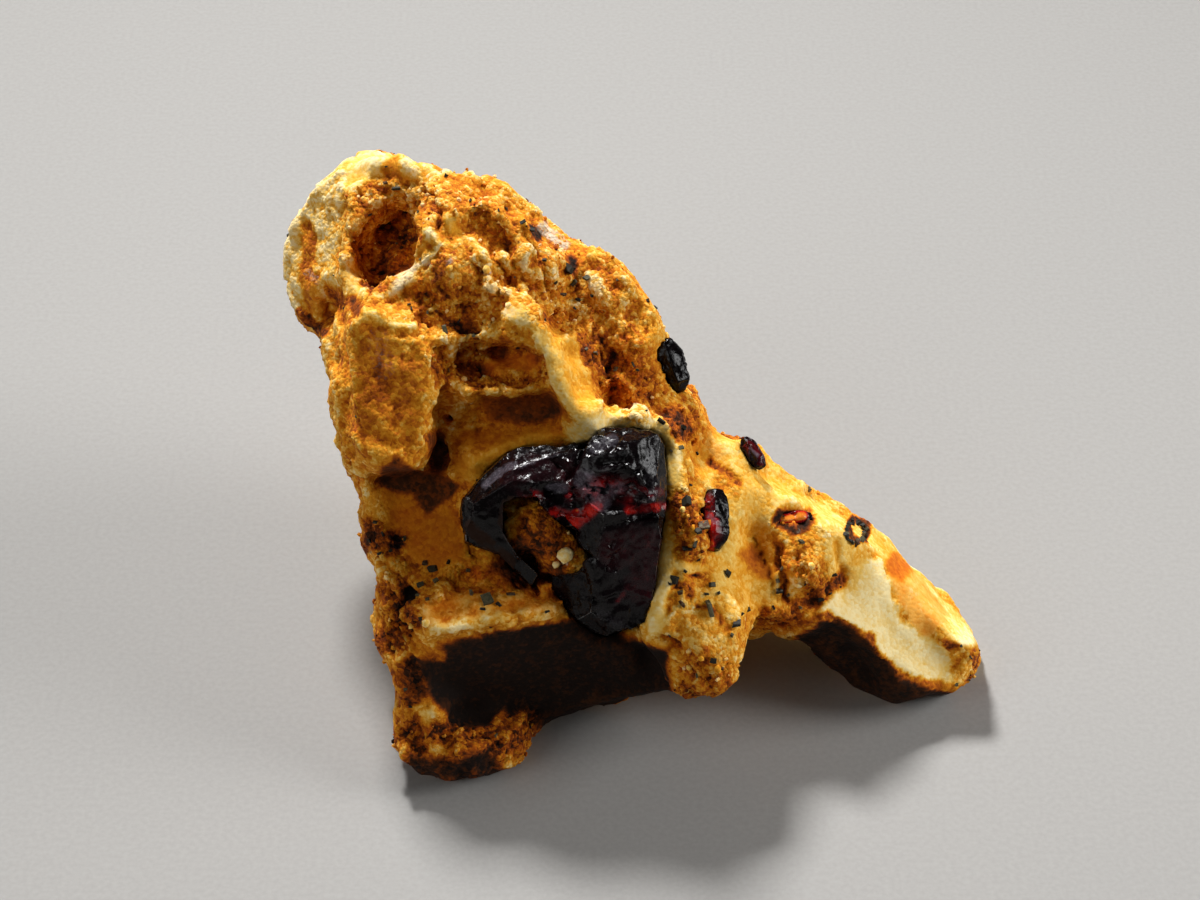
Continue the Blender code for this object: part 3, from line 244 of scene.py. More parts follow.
# Ground of the display face, painted in this order: how far the iron stain has gone (0 cream, 0.4 golden
# ochre, 0.6 rust, 1 near-black brown), how rough the rock is, reach in millimetres, then a path of (u, v)
# Some entries paint shade or shadow rather than iron stain, as their names and comments say
GROUND = {
    "back_left_face": (0.13, 0.45, 3.2, (-17, 18), (-19, 15.7), (-19.7, 12.7), (-18.8, 9.3)),
    "back_left_streak": (0.5, 0.4, 0.8, (-19.6, 14.7), (-19.2, 10), (-18, 8.8)),
    "back_left_brown": (0.55, 0.5, 0.5, (-18.1, 10.7), (-17.3, 10), (-16.9, 8.5)),
    "back_left_low": (0.8, 0.6, 0.5, (-19.8, 9.1), (-19.2, 8.4), (-18.4, 7.9)),
    "tip": (0.12, 0.1, 1.6, (-14.8, 19.9), (-16, 18.5)),
    "tip_recess": (0.5, 0.2, 0.9, (-13.8, 18.8), (-13.3, 18)),
    "top_crest": (0.22, 0.3, 0.8, (-12.8, 18.8), (-10.7, 18.3)),
    "cavity": (0.5, 0.9, 2.7, (-15, 16), (-14.3, 14), (-15.3, 12.5)),
    "cavity_top": (0.46, 1, 1.7, (-15, 16.7), (-12.3, 16.7)),
    # Painted shade: the deepest part of the cavity is painted darker for the shade in it
    "cavity_dark": (0.62, 0.8, 1, (-14.4, 14.5), (-12.3, 14.4)),
    "cavity_left": (0.66, 0.8, 0.8, (-16.3, 14), (-16.2, 13)),
    "pale_left_facet": (0.2, 0.15, 0.8, (-16.7, 11.9), (-16.1, 10.3)),
    "olive_hollow": (0.72, 0.2, 0.6, (-16.5, 9.9), (-16, 9.3)),
    "cavity_mound": (0.58, 0.9, 1.5, (-13.7, 12.5), (-14.8, 10.8)),
    "upper_face": (0.38, 0.8, 3, (-9.7, 16.7), (-6.7, 15.5), (-4, 13), (-2.7, 10)),
    "upper_face_low": (0.45, 0.85, 2.4, (-10, 12), (-7.3, 10.5), (-10.7, 10)),
    "star_ridge": (0.16, 0.5, 0.45, (-11.3, 14.5), (-10.6, 13.7), (-11.7, 12.5), (-13.1, 11.1),
        (-14.7, 9.9),
    ),
    "crease_facet": (0.3, 0.1, 0.6, (-10.2, 15.7), (-9.7, 14.5)),
    "skyline": (0.4, 0.5, 0.5, (-9.7, 18.1), (-7.3, 17), (-4.7, 15)),
    "brown_patch": (0.88, 0.6, 0.7, (-1.9, 12.5), (-1.5, 10.9)),
    "brown_spot": (0.9, 0.6, 0.5, (-4.5, 14.8), (-4, 14.3)),
    "plate_left": (0.4, 0.5, 0.8, (-16.7, 8), (-16.9, 3.3), (-16.5, 0.7)),
    "plate_low": (0.38, 0.4, 0.7, (-16, 0.3), (-14.3, -0.5)),
    "plate_edge": (0.3, 0.3, 0.3, (-16.1, 8.5), (-15.1, 9), (-13.7, 8.3), (-12.4, 8.2)),
    "pit_rust": (0.76, 0.7, 0.8, (-9.7, 8.3), (-8.7, 8.1)),
    "brow": (0.5, 0.5, 0.3, (-10.7, 7.3), (-8.9, 7.5), (-6.1, 7.5), (-4.5, 6.7)),
    "cave_rust": (0.43, 0.8, 2.2, (-10, 5.9), (-7.3, 5.2), (-5.3, 4.8)),
    "cave": (0.36, 0.8, 1, (-10, 6.5), (-8, 6.5)),
    # Painted shade: the cave's deepest parts, upper and lower, are painted darker for the shade inside
    "cave_painted_shade": (0.5, 0.4, 0.6, (-7.2, 6.8), (-6.5, 6.7)),
    "cave_low_painted_shade": (0.64, 0.4, 0.5, (-9.2, 5.6), (-7.9, 5.5)),
    "cave_floor": (0.46, 0.1, 0.9, (-7, 5.7), (-4.9, 5.9)),
    "second_lip": (0.44, 0.6, 0.35, (-9.9, 4.4), (-8.5, 3.7), (-6.1, 3.9), (-4.2, 4.1)),
    "recess_shade": (0.7, 0.05, 1.5, (-6.7, 2.7), (-3.3, 2.8)),
    # Painted shade: the slot between plate and recess is painted dark for the shadow in it
    "slot": (0.8, 0.1, 0.9, (-10.8, 0.7), (-10.8, -1.1)),
    "recess_lit": (0.5, 0.1, 1.1, (-8.7, 0.7), (-6, 0.7), (-3.2, 0.9)),
    "recess_bits": (0.42, 0.4, 0.5, (-8.8, 2.5), (-8.4, 3.2)),
    # Painted shade: the small hole in the recess is painted dark for the shade in it
    "recess_hole": (0.85, 0.3, 0.35, (-10.1, 2.1)),
    "pale_facet": (0.16, 0.1, 0.7, (-5.9, 9.2), (-5, 8.5)),
    "pale_ridge": (0.24, 0.1, 0.45, (-4.1, 8.1), (-3.5, 6.3), (-3.1, 4.6), (-1.9, 2.8), (-0.3, 1.3)),
    "over_hook": (0.38, 0.05, 1, (-9, -1.1), (-5, 0.3), (-3.6, 0.7)),
    "over_crystal": (0.13, 0.02, 0.95, (-1.7, 1.1), (0.7, 2.1), (3.7, 1.7), (5.1, -0.3)),
    "shoulder": (0.36, 0.8, 2.6, (0, 11), (1, 8), (1.3, 5.3), (2.7, 3.7)),
    "shoulder_red": (0.56, 0.8, 0.8, (0, 7.7), (0.3, 6.5)),
    "shoulder_dark": (0.66, 0.8, 0.5, (-1.1, 7.7), (-0.7, 5.9)),
    "green_lumps": (0.45, 0.7, 1, (6, 3.7), (6.3, 2)),
    "brown_lumps": (0.7, 0.8, 0.8, (4.7, 2.5), (5.5, 1.3)),
    "lower_lumps": (0.5, 0.8, 0.9, (6.7, 1), (7.5, 0.3)),
    "flank": (0.22, 0.1, 2.6, (8, -0.3), (11.3, -2.7), (9.7, -4), (9, -9.3), (16, -7.3)),
    "groove": (0.56, 0.4, 0.4, (7.5, -0.8), (9.2, -2.1)),
    "groove_fill": (0.36, 0.5, 0.6, (8.1, -2.1), (8.8, -2.8)),
    "inclusion": (0.5, 1, 1.5, (5.6, -3.7), (6, -6.3)),
    "patch": (0.27, 0.5, 1.5, (5.9, -9), (6.7, -11.3), (7.9, -12.7)),
    "patch_bits": (0.66, 0.6, 0.28, (4.8, -8.9), (5.6, -9.1), (6.3, -9.6)),
    "patch_bits_low": (0.62, 0.6, 0.28, (6.7, -10.3), (7.5, -10.7), (8.1, -11.5)),
    "patch_bits_high": (0.6, 0.6, 0.25, (6.1, -8.1), (7.1, -8.5)),
    "patch_pale": (0.26, 0.3, 0.8, (9, -10), (7.5, -10)),
    "nose": (0.42, 0.85, 1.7, (6.8, -14.3), (7.7, -15.3)),
    "nose_low": (0.6, 0.9, 0.9, (5.3, -16), (7, -16.4), (8.5, -15.9)),
    "smooth_hollow": (0.52, 0.1, 0.9, (9.9, -6.9), (11, -8.1)),
    "boss": (0.5, 0.85, 1.9, (13.5, -7.3), (14.3, -8.8)),
    "boss_rim": (0.58, 0.6, 0.5, (11.8, -6.3), (12.1, -8.3), (12.5, -10.1)),
    "boss_shadow": (0.6, 0.7, 0.6, (13.3, -10.2), (15, -9.8), (15.9, -8.7)),
    "boss_under": (0.62, 0.9, 0.9, (11, -11.3), (13, -11.2)),
    "sheet_top": (0.2, 0, 0.7, (4.6, 0.7), (4.9, -2.1)),
    "sheet_low": (0.16, 0, 0.8, (4.5, -7.1), (4, -10), (3.6, -12)),
    "below_inclusion": (0.2, 0.05, 0.5, (4.5, -7.7), (6.9, -7.9)),
    "tip_grains": (0.75, 0.7, 0.5, (23.3, -12.8), (24.8, -13), (25.3, -14.5), (24.5, -15.6)),
    "arm_top": (0.2, 0.12, 1.2, (13.3, -3.7), (16.7, -5.2), (19.3, -6.3), (22, -9.7), (24.1, -12.1)),
    "arm_edge": (0.1, 0.05, 1, (21.1, -6.9), (22.4, -8.9), (23.7, -10.9), (24.6, -12.6)),
    "arm_lip": (0.62, 0.5, 0.3, (13.3, -11.6), (15.3, -10.9), (17.7, -12.3), (19.1, -13.9)),
    "arm_rim": (0.55, 0.3, 0.4, (20.1, -14.9), (22.1, -15.7), (24, -15.9)),
    "left_tan": (0.38, 0.6, 0.9, (-16.5, -1.1), (-15.2, -2.4)),
    "nodules": (0.8, 0.8, 1, (-15.1, -5), (-15.3, -6.3), (-13.7, -6.1)),
    # Rust, stained deeper in part as painted shade over the lower left
    "left_rough": (0.62, 0.9, 1.6, (-13.7, -9.3), (-13, -11.3), (-14.1, -12.7)),
    # Painted shade: the small hole is painted dark for the shade in it
    "left_hole": (0.85, 0.4, 0.4, (-13.1, -9.5), (-13.1, -10.3)),
    "rust_slope": (0.48, 0.3, 1.3, (-8, -7.5), (-5.3, -8.3), (-3.2, -9.5)),
    "ledge_pale": (0.26, 0.3, 0.8, (-11.2, -10.8), (-9.9, -11.2)),
    # Dark rust, deepened in part as painted shade beside the shaded face under the ledge
    "pillar": (0.84, 0.6, 1.3, (-12.8, -14.7), (-12.5, -16.3)),
    "small_ledge": (0.46, 0.3, 0.7, (-12.1, -13.5), (-10.7, -13.7)),
    # Rust, deepened in part as painted shade over the lower left
    "foot": (0.64, 0.9, 2.2, (-12, -19), (-8.7, -19.9), (-5.3, -18.7)),
    "foot_patch": (0.25, 0.3, 0.7, (-12.1, -17.3), (-11.6, -17.7)),
    # Painted shade: the notch in the foot is painted near black for the shade in it
    "foot_bowl": (0.95, 0.2, 0.9, (-8.8, -17.5), (-7.7, -17.7)),
    # Painted shade: the foot's underside is painted near black for the shade under it
    "foot_under_painted_shade": (1, 0.3, 1.9, (-12.3, -21.5), (-10, -21.9), (-8, -21.2)),
    "infill": (0.7, 0.7, 1.6, (-4.3, -5), (-2.7, -7)),
    "hook_shadow": (0.76, 0.4, 0.75, (-6.8, -7.7), (-4.8, -8.5), (-2.9, -8.1), (-1.9, -8.9)),
    # Rust infill, darkened further as painted shade round the hook's lower end
    "infill_rust_and_painted_shade": (0.88, 0.6, 0.6, (-5.3, -6), (-4.3, -7.7)),
    "lens_rim": (0.97, 0.3, 0.38, (11.5, -4.6), (12, -4.1), (12.9, -3.9), (13.7, -4), (14.1, -4.5),
        (13.7, -5.1), (12.9, -5.3), (12, -5.2), (11.5, -4.6),
    ),
    "ring": (0.88, 0.3, 0.3, (17.2, -4.5), (17.7, -4.8), (17.9, -5.3), (17.7, -5.9), (17.2, -6.1),
        (16.7, -5.9), (16.5, -5.3), (16.7, -4.8), (17.2, -4.5),
    ),
}
# The clean face of the arm
CLEAN_FACE = (
    (16.7, -7.3), (18.7, -6.5), (20.3, -5.7), (21.7, -7.3), (23.2, -10), (24.1, -12.3), (23.3, -14),
    (22, -15.3), (20.3, -14.5), (19, -13.2), (17.7, -11.9), (16.3, -10.8),
)
# A clear orange oval in the clean face of the arm, darker at its top
OVAL_STAIN = 0.17
OVAL_GLAZE = 1.0
OVAL_EDGE = 0.25
OVAL_TOP_STAIN = 0.26
OVAL_TOP = ((19.5, -7.2), (20.1, -7.9))
OVAL_TOP_REACH = 1.1
OVAL = (
    (19.1, -7.5), (19.5, -6.7), (20.1, -6.5), (20.9, -7.1), (21.9, -8.9), (22.8, -10.4), (23.1, -11.3),
    (22.5, -12.2), (21.6, -12.4), (20.5, -11.3), (19.7, -9.6),
)
# Chalky white crusts: strength, reach, path
CHALK = {
    "back_left_grey": (0.5, 0.5, (-19.3, 11.8), (-18.9, 11.1)),
    "star_edge": (0.6, 0.5, (-11.5, 12.5), (-12.7, 11.6), (-13.6, 10.8)),
    "skyline_patch": (0.8, 0.6, (-3.7, 14.9), (-2.3, 13.7)),
    "white_spot": (1, 0.35, (-7.5, 11.9)),
    "faint_spot": (0.6, 0.5, (-10, 12.5)),
    "bead": (1, 0.55, (-2.3, -7.1)),
    "plate_veil": (0.35, 1.6, (-14.7, 7.3), (-14.3, 5.3)),
    "groove_grey": (0.6, 0.35, (4.7, -2.3)),
    "flank_grey": (0.4, 0.5, (13.3, -5.3)),
}
# Clear orange staining, like varnish: strength, reach, path
AMBER = {
    "cave_floor": (0.8, 1, (-6.9, 5.6), (-4.9, 6)),
    "boss": (0.6, 1.4, (13, -7.3), (14.1, -9)),
    "scoop": (0.5, 1.8, (-12.7, -5), (-10.3, -7)),
    "cavity_mound": (0.6, 1.4, (-13.7, 12.5), (-14.8, 10.8)),
    "upper": (0.6, 1.6, (-8.7, 10.7), (-6.7, 10)),
    "skyline": (0.6, 1, (-8, 16.7), (-6.7, 15.7)),
    "shoulder": (0.6, 1.8, (0.7, 7), (2, 4.7)),
    "lower_lumps": (0.7, 1, (6.7, 1), (7.7, 0.1)),
    "inclusion": (0.7, 1.2, (5.3, -4.3), (6, -6.3)),
    "nose": (0.5, 1.4, (6, -14.7), (7.7, -15.7)),
    "ledge": (0.9, 1.5, (-11.7, -10.8), (-8, -10), (-3.3, -10)),
    "slope": (0.8, 1.2, (-8, -8.3), (-3.7, -9.3)),
    "foot": (0.5, 1.6, (-10.7, -19.7), (-6, -18.3)),
    "neck": (0.15, 0.8, (-17.7, 7.7)),
}
# Fine forms raised on the rock or sunk into it: height, half width, path
FORMS = {
    "star_ridge": (0.3, 0.7, (-11.3, 14.5), (-10.6, 13.7), (-11.7, 12.5), (-13.1, 11.1), (-15.6, 9.1)),
    "star_arm": (0.25, 0.6, (-10.6, 13.7), (-9.7, 12.5), (-9.9, 10)),
    "star_top": (0.2, 0.6, (-12, 15.2), (-11.2, 14.5)),
    "crease": (-0.6, 0.35, (-11.3, 17.2), (-10.9, 15.9), (-10.7, 14.8)),
    "long_crease": (-0.45, 0.3, (-7.4, 13.2), (-6.3, 11.9), (-5.3, 10.5)),
    "second_crease": (-0.35, 0.3, (-8.7, 17), (-6.7, 14.3), (-4.7, 10.7)),
    "third_crease": (-0.35, 0.3, (-6.3, 16.3), (-4.3, 13.7), (-2.7, 8.7)),
    "cavity_dark": (-0.25, 1, (-14.3, 14.5), (-12.5, 14.4)),
    "cavity_left": (-0.6, 0.6, (-16.3, 13.7)),
    "plate_edge": (0.2, 0.6, (-16.3, 8.4), (-15.1, 9), (-13.7, 8.3), (-12.4, 8.2)),
    "brow": (0.25, 0.5, (-10.7, 7.3), (-8.9, 7.5), (-6.1, 7.5), (-4.5, 6.7)),
    "cave_hole": (-0.3, 0.7, (-7.2, 6.7), (-6.5, 6.6)),
    "cave_hole_low": (-0.3, 0.7, (-9.3, 5.7), (-7.9, 5.5)),
    "cave_divide": (0.25, 0.5, (-8.7, 6.5), (-7.5, 5.9), (-6.3, 5.1)),
    "pit_rust": (-0.7, 0.6, (-9.5, 8.2), (-8.4, 8.1)),
    "second_lip": (0.2, 0.5, (-9.9, 4.4), (-8.5, 3.7), (-6.1, 3.9), (-4.2, 4.1)),
    "lip_knob": (0.3, 0.6, (-8.8, 3.6), (-8.4, 3.1)),
    "recess_hole": (-0.5, 0.4, (-10.1, 2.1)),
    "pale_ridge": (0.15, 1, (-5.3, 8.8), (-4.1, 8.1), (-3.5, 6.3), (-3.1, 4.6), (-1.9, 2.8), (-0.3, 1.3)),
    "ledge_edge": (0.12, 0.8, (-11.6, -12.5), (-9.8, -11.9), (-7.1, -11.5), (-3.4, -11.1)),
    "left_hole": (-1.1, 0.4, (-13.1, -9.5), (-13.1, -10.3)),
    "small_hole": (-0.7, 0.3, (-14.3, -8.3)),
    "thin_crack": (-0.3, 0.18, (10.4, -5.9), (11.2, -8), (11.9, -10.1)),
    "boss_gap": (-0.5, 0.35, (11.8, -6.5), (12.1, -8.3), (12.5, -10.1)),
    "boss_edge": (-0.3, 0.45, (13.7, -10.3), (15.2, -9.6), (16.1, -8.1), (15.7, -6.3)),
    "notch": (-0.9, 0.5, (4.3, -12.7), (5.1, -13.3)),
    "groove": (-0.22, 0.3, (7.5, -0.7), (9.2, -2)),
    "foot_rim": (0.5, 0.8, (-10.9, -19.9), (-8.7, -20.1), (-6.3, -19), (-5.3, -17.9)),
    "foot_bowl": (-0.35, 1.5, (-8.8, -17.7), (-7.6, -17.9)),
    "oval": (-0.12, 1, (19.5, -7.5), (20.5, -9.9), (21.6, -11.7)),
    "bead": (0.5, 0.55, (-2.4, -7.1), (-2, -7.3)),
    "oval_rim": (0.08, 0.5, (18.7, -8.3), (19.5, -11.3), (21, -13)),
    "slope_hollow": (-0.3, 0.8, (-6.7, -7.3), (-5, -9)),
    "shelf_step": (-0.5, 0.35, (-8.5, -3.9), (-6.7, -6.5), (-4, -9.3)),
}
STONE_GRID = 0.268  # size of the stone's finest facets
EDGE_FADE = 0.3  # what is drawn fades out where the surface turns this far from the viewer
BACK_STARTS = -16.0  # and behind this depth, in millimetres
BACK_FADE = 2.0
WANDER = 0.28  # edges of what is drawn wander by up to this much
WANDER_SIZE = 1.3
PATCH_EDGE = 0.5  # width over which one patch gives way to the next
# Broad drifts of stain and roughness, on the back and faintly on the front
DRIFT_SIZE = 7.0
FINE_DRIFT_SIZE = 2.6
BACK_STAIN = 0.38
DRIFT_STAIN = 0.45
ROUGH_FROM = -0.25  # drifts above this are rough
ROUGH_WIDTH = 0.45
FRONT_STAIN = 0.35
FRONT_ROUGH = 0.5
FRONT_DRIFT_SIZE = 3.0
FRONT_DRIFT_STAIN = 0.3
# Right of this, across the face, the rock is clean carbonate all round
ARM_ROOT = 13.0
ARM_ROOT_WIDTH = 3.0
ARM_CLEANER = 0.22  # less stain
ARM_SMOOTHER = 0.7  # share of the roughness that is gone

stone = node_copy("matrix", "host_rock")
remesh(stone, STONE_GRID)
points = read_points(stone.data)
normals = read_normals(stone.data)
front = np.clip((normals[:, 2] + EDGE_FADE) / EDGE_FADE, 0, 1)
front *= np.clip((points[:, 2] - BACK_STARTS) / BACK_FADE, 0, 1)
wander = np.stack([field(points, WANDER_SIZE, 4.0), field(points, WANDER_SIZE, 9.0)], axis=1)
drawn = drawn_position(points) + WANDER * wander

drift = field(points, DRIFT_SIZE, 2.0) + 0.5 * field(points, FINE_DRIFT_SIZE, 5.0)
stain = BACK_STAIN + DRIFT_STAIN * drift
rough = eased((drift - ROUGH_FROM) / ROUGH_WIDTH) * 0.9 + 0.1
on_arm = eased((points[:, 0] - ARM_ROOT) / ARM_ROOT_WIDTH)
stain -= ARM_CLEANER * on_arm
rough *= 1 - ARM_SMOOTHER * on_arm
stain += front * (FRONT_STAIN - stain)
rough += front * (FRONT_ROUGH - rough)
painted = [(*patch[:2], within(drawn, patch[2:], PATCH_EDGE)) for patch in PATCHES.values()]
painted += [(*stroke[:2], covered(drawn, stroke[3:], stroke[2])) for stroke in GROUND.values()]
for to_stain, to_rough, cover in painted:
    stain += front * cover * (to_stain - stain)
    rough += front * cover * (to_rough - rough)
stain += front * rough * FRONT_DRIFT_STAIN * field(points, FRONT_DRIFT_SIZE, 12.0)
oval = front * within(drawn, OVAL, OVAL_EDGE)
stain += oval * (OVAL_STAIN + OVAL_TOP_STAIN * covered(drawn, OVAL_TOP, OVAL_TOP_REACH) - stain)
rough -= oval * rough
chalk = front * strongest(drawn, CHALK)
amber = np.maximum(0.5 * rough, front * strongest(drawn, AMBER))
amber = np.maximum(amber, OVAL_GLAZE * oval)

edges = np.empty(len(stone.data.edges) * 2, int)
stone.data.edges.foreach_get("vertices", edges)
starts, ends = edges.reshape(-1, 2).T
neighbours = np.bincount(edges, minlength=len(points))[:, None]


def neighbour_mean(values):
    """At each vertex of the stone, the mean of its neighbours' positions."""
    total = np.empty_like(values)
    for axis in range(3):
        total[:, axis] = np.bincount(starts, values[ends, axis], len(values))
        total[:, axis] += np.bincount(ends, values[starts, axis], len(values))
    return total / neighbours


# Smooth ground rolls, and the arm's clean face is smoother still: both are eased before any relief goes on
ROLLING_PASSES = 6
CLEAN_FACE_PASSES = 70
CLEAN_FACE_EDGE = 1.0
ROLLING_ENDS = 0.26  # ground this rough no longer rolls
ROLLING_FADE = 0.2
EASING = 0.6  # how far one pass takes a vertex towards its neighbours
rolling = eased((ROLLING_ENDS - rough) / ROLLING_FADE)
clean_face = front * within(drawn, CLEAN_FACE, CLEAN_FACE_EDGE)
for where, passes in ((rolling, ROLLING_PASSES), (clean_face, CLEAN_FACE_PASSES)):
    for _ in range(passes):
        points += EASING * where[:, None] * (neighbour_mean(points) - points)

# Relief, in millimetres. Rough ground is broken into blocks and chips, which split into splinters along
# the bedding, and is crested, gritty, lumpy and pitted. Smooth ground swells, with a little grit.
BEDDING = np.array((0.5, -0.8, 0.33))
BEDDING_DRAW = 0.45
BLOCK_SIZE = 2.3
BLOCK_HEIGHT = 0.62
CHIP_SIZE = 1.0
CHIP_HEIGHT = 0.26
CREST_SIZE = 1.3
CREST_HEIGHT = 0.06
CREST_SLOPE = 2.6
GRIT_SIZE = 0.5
GRIT_HEIGHT = 0.04
LUMP_SIZE = 0.75
LUMP_HEIGHT = 0.05
PIT_SIZE = 1.1
PIT_DEPTH = 0.3
PIT_STARTS = 0.16  # where the noise passes this
PIT_WALL = 0.22
SWELL_SIZE = 1.6
SWELL_HEIGHT = 0.07
SMOOTH_GRIT_HEIGHT = 0.02
bedded = points - BEDDING_DRAW * (points @ BEDDING)[:, None] * BEDDING
grit = field(points, GRIT_SIZE, 6.0)
broken_ground = (
    BLOCK_HEIGHT * field(bedded, BLOCK_SIZE, 3.0, broken_height)
    + CHIP_HEIGHT * field(bedded, CHIP_SIZE, 6.0, broken_height)
    + CREST_HEIGHT * (1 - CREST_SLOPE * np.abs(field(points, CREST_SIZE, 3.0)))
    + GRIT_HEIGHT * grit
    + LUMP_HEIGHT * (0.5 - field(points, LUMP_SIZE, 1.0, cell_gap))
    - PIT_DEPTH * eased((field(points, PIT_SIZE, 8.0) - PIT_STARTS) / PIT_WALL)
)
smooth_ground = SWELL_HEIGHT * field(points, SWELL_SIZE, 7.0) + SMOOTH_GRIT_HEIGHT * grit
relief = front * relief_of(drawn, FORMS) + rough * broken_ground + (1 - rough) * smooth_ground
points += normals * relief[:, None]

# Rock grips the crystals: what lies this close is drawn in against them. The stone's rests stay flat.
SOCKET_REACH = 0.6 * MM
SOCKET_SINK_SHARE = 0.3  # share of the hollow darkening that stays there
crystals = bmesh.new()
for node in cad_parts:
    if node != "matrix":
        crystals.from_mesh(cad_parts[node].data)
grip = BVHTree.FromBMesh(crystals)
crystals.free()
stone_points = scene_position(points)
gripping = np.zeros(len(stone_points), dtype=bool)
for index, point in enumerate(stone_points):
    spot, _, _, gap = grip.find_nearest(point, SOCKET_REACH)
    if spot is not None:
        gripping[index] = True
        stone_points[index] = spot + (Vector(point) - spot) * max(0.0, 2 * gap / SOCKET_REACH - 1)
stone_points[:, 2] = np.maximum(stone_points[:, 2], 0)
write_points(stone.data, stone_points)
stone_normals = read_normals(stone.data)

# How far each spot lies below its surroundings, in millimetres, to darken the colour in hollows
SURROUNDING_PASSES = 11
surroundings = stone_points
for _ in range(SURROUNDING_PASSES):
    surroundings = 0.5 * surroundings + 0.5 * neighbour_mean(surroundings)
sunk = ((surroundings - stone_points) * stone_normals).sum(axis=1) / MM
sunk[gripping] *= SOCKET_SINK_SHARE


def store(mesh, **numbers):
    """Keeps numbers at each vertex for the material to read."""
    for name, values in numbers.items():
        kept = mesh.attributes.new(name, "FLOAT", "POINT")
        spread = np.broadcast_to(np.asarray(values, dtype=np.float32), len(mesh.vertices))
        kept.data.foreach_set("value", np.ascontiguousarray(spread))


store(
    stone.data, stain=np.clip(stain, 0, 1), rough=np.clip(rough, 0, 1), chalk=chalk, sunk=sunk, amber=amber
)


def srgb(code):
    """The linear colour of an sRGB hex value."""
    channels = [int(code[i : i + 2], 16) / 255 for i in (1, 3, 5)]
    return tuple(c / 12.92 if c <= 0.04045 else ((c + 0.055) / 1.055) ** 2.4 for c in channels) + (1.0,)


def add_node(tree, kind, inputs=(), stages=(), **settings):
    """Adds a node with its settings, its colour stages and its inputs: values, outputs, or whole nodes, for
    the first of their outputs."""
    made = tree.nodes.new("ShaderNode" + kind)
    for name, value in settings.items():
        setattr(made, name, value)
    for name, value in dict(inputs).items():
        if isinstance(value, bpy.types.Node):
            value = value.outputs[0]
        if isinstance(value, bpy.types.NodeSocket):
            tree.links.new(value, made.inputs[name])
        else:
            made.inputs[name].default_value = value
    if stages:
        elements = made.color_ramp.elements
        elements.remove(elements[1])
        elements[0].position = stages[0][0]
        elements[0].color = srgb(stages[0][1])
        for position, colour in stages[1:]:
            elements.new(position).color = srgb(colour)
    return made


def new_material(name, *stored_names):
    """A material, what adds a node to it, its place in millimetres, and its stored numbers."""
    material = bpy.data.materials.new(name)
    material.use_nodes = True
    material.node_tree.nodes.clear()
    add = partial(add_node, material.node_tree)
    metres = add("TexCoord").outputs["Object"]
    place = add("VectorMath", {0: metres, "Scale": 1 / MM}, operation="SCALE")
    stored = [add("Attribute", attribute_name=kept).outputs["Fac"] for kept in stored_names]
    return material, add, place, stored


# Limonite-stained carbonate rock, weathered: matt and dusty, cream where clean, golden then rust then brown
# as the iron goes deeper, darker in the hollows and paler on crests
ROCK_STAGES = (
    (0.0, "#FCE6AA"), (0.14, "#F3C864"), (0.28, "#E5A024"), (0.42, "#CE7C0A"), (0.56, "#AE5804"),
    (0.70, "#7C3803"), (0.84, "#422004"), (1.0, "#160A04"),
)
CHALK_WHITE = "#D9D2C0"
AMBER_GLAZE = "#FFB414"
MOTTLES_PER_MM = 0.9
SPECKS_PER_MM = 4.5  # flecks of a fifth of a millimetre, squeezed across the bedding as the chips are
SPECK_DRAW = 0.7
ROCK_GRAINS_PER_MM = 3.6  # drawn coarse, so that single grains show
ROCK_GRIT_PER_MM = 6.0
ROCK_BUMP = 0.16 * MM
rock, add, place, stored = new_material(
    "limonite_stained_rock", "stain", "rough", "chalk", "sunk", "amber"
)
stain_value, rough_value, chalk_value, sunk_value, amber_value = stored
mottle = add("TexNoise", {"Vector": place, "Scale": MOTTLES_PER_MM, "Detail": 6.0, "Roughness": 0.62})
along = add("VectorMath", {0: place, 1: BEDDING}, operation="DOT_PRODUCT").outputs[1]
squeezed = add("Math", {0: along, 1: SPECK_DRAW}, operation="MULTIPLY")
drawn_back = add("VectorMath", {0: BEDDING, "Scale": squeezed}, operation="SCALE")
bedded_place = add("VectorMath", {0: place, 1: drawn_back}, operation="SUBTRACT")
specks = add("TexNoise", {"Vector": bedded_place, "Scale": SPECKS_PER_MM, "Detail": 4.0, "Roughness": 0.65})
grains = add("TexVoronoi", {"Vector": place, "Scale": ROCK_GRAINS_PER_MM})
grain_shade = add("SeparateColor", {"Color": grains.outputs["Color"]})
# mottling, specks and single grains swing the stain more on rough ground than on smooth
swing = add("MapRange", {"Value": rough_value, "To Min": 0.2, "To Max": 0.85})
both = add("Math", {0: mottle, 1: specks}, operation="ADD")
all_three = add("Math", {0: grain_shade, 1: 0.45, 2: both}, operation="MULTIPLY_ADD")
centred = add("Math", {0: all_three, 1: 1.24}, operation="SUBTRACT")
swung = add("Math", {0: centred, 1: swing}, operation="MULTIPLY")
hollow_darkened = add("Math", {0: sunk_value, 1: 0.85, 2: stain_value}, operation="MULTIPLY_ADD")
level = add("Math", {0: hollow_darkened, 1: swung}, operation="ADD")
stained = add("ValToRGB", {"Fac": level}, ROCK_STAGES)
chalk_cut = add("Math", {0: chalk_value, 1: specks}, operation="MULTIPLY")
chalked = add(
    "MapRange", {"Value": chalk_cut, "From Min": 0.15, "From Max": 0.5}, interpolation_type="SMOOTHSTEP"
)
coat = add("Mix", {0: chalked, 6: stained, 7: srgb(CHALK_WHITE)}, data_type="RGBA").outputs[2]
amber_cut = add("Math", {0: amber_value, 1: mottle}, operation="MULTIPLY")
glazed = add(
    "Mix", {0: amber_cut, 6: coat, 7: srgb(AMBER_GLAZE)}, data_type="RGBA", blend_type="MULTIPLY"
).outputs[2]
dullness = add("MapRange", {"Value": specks, "To Min": 0.75})
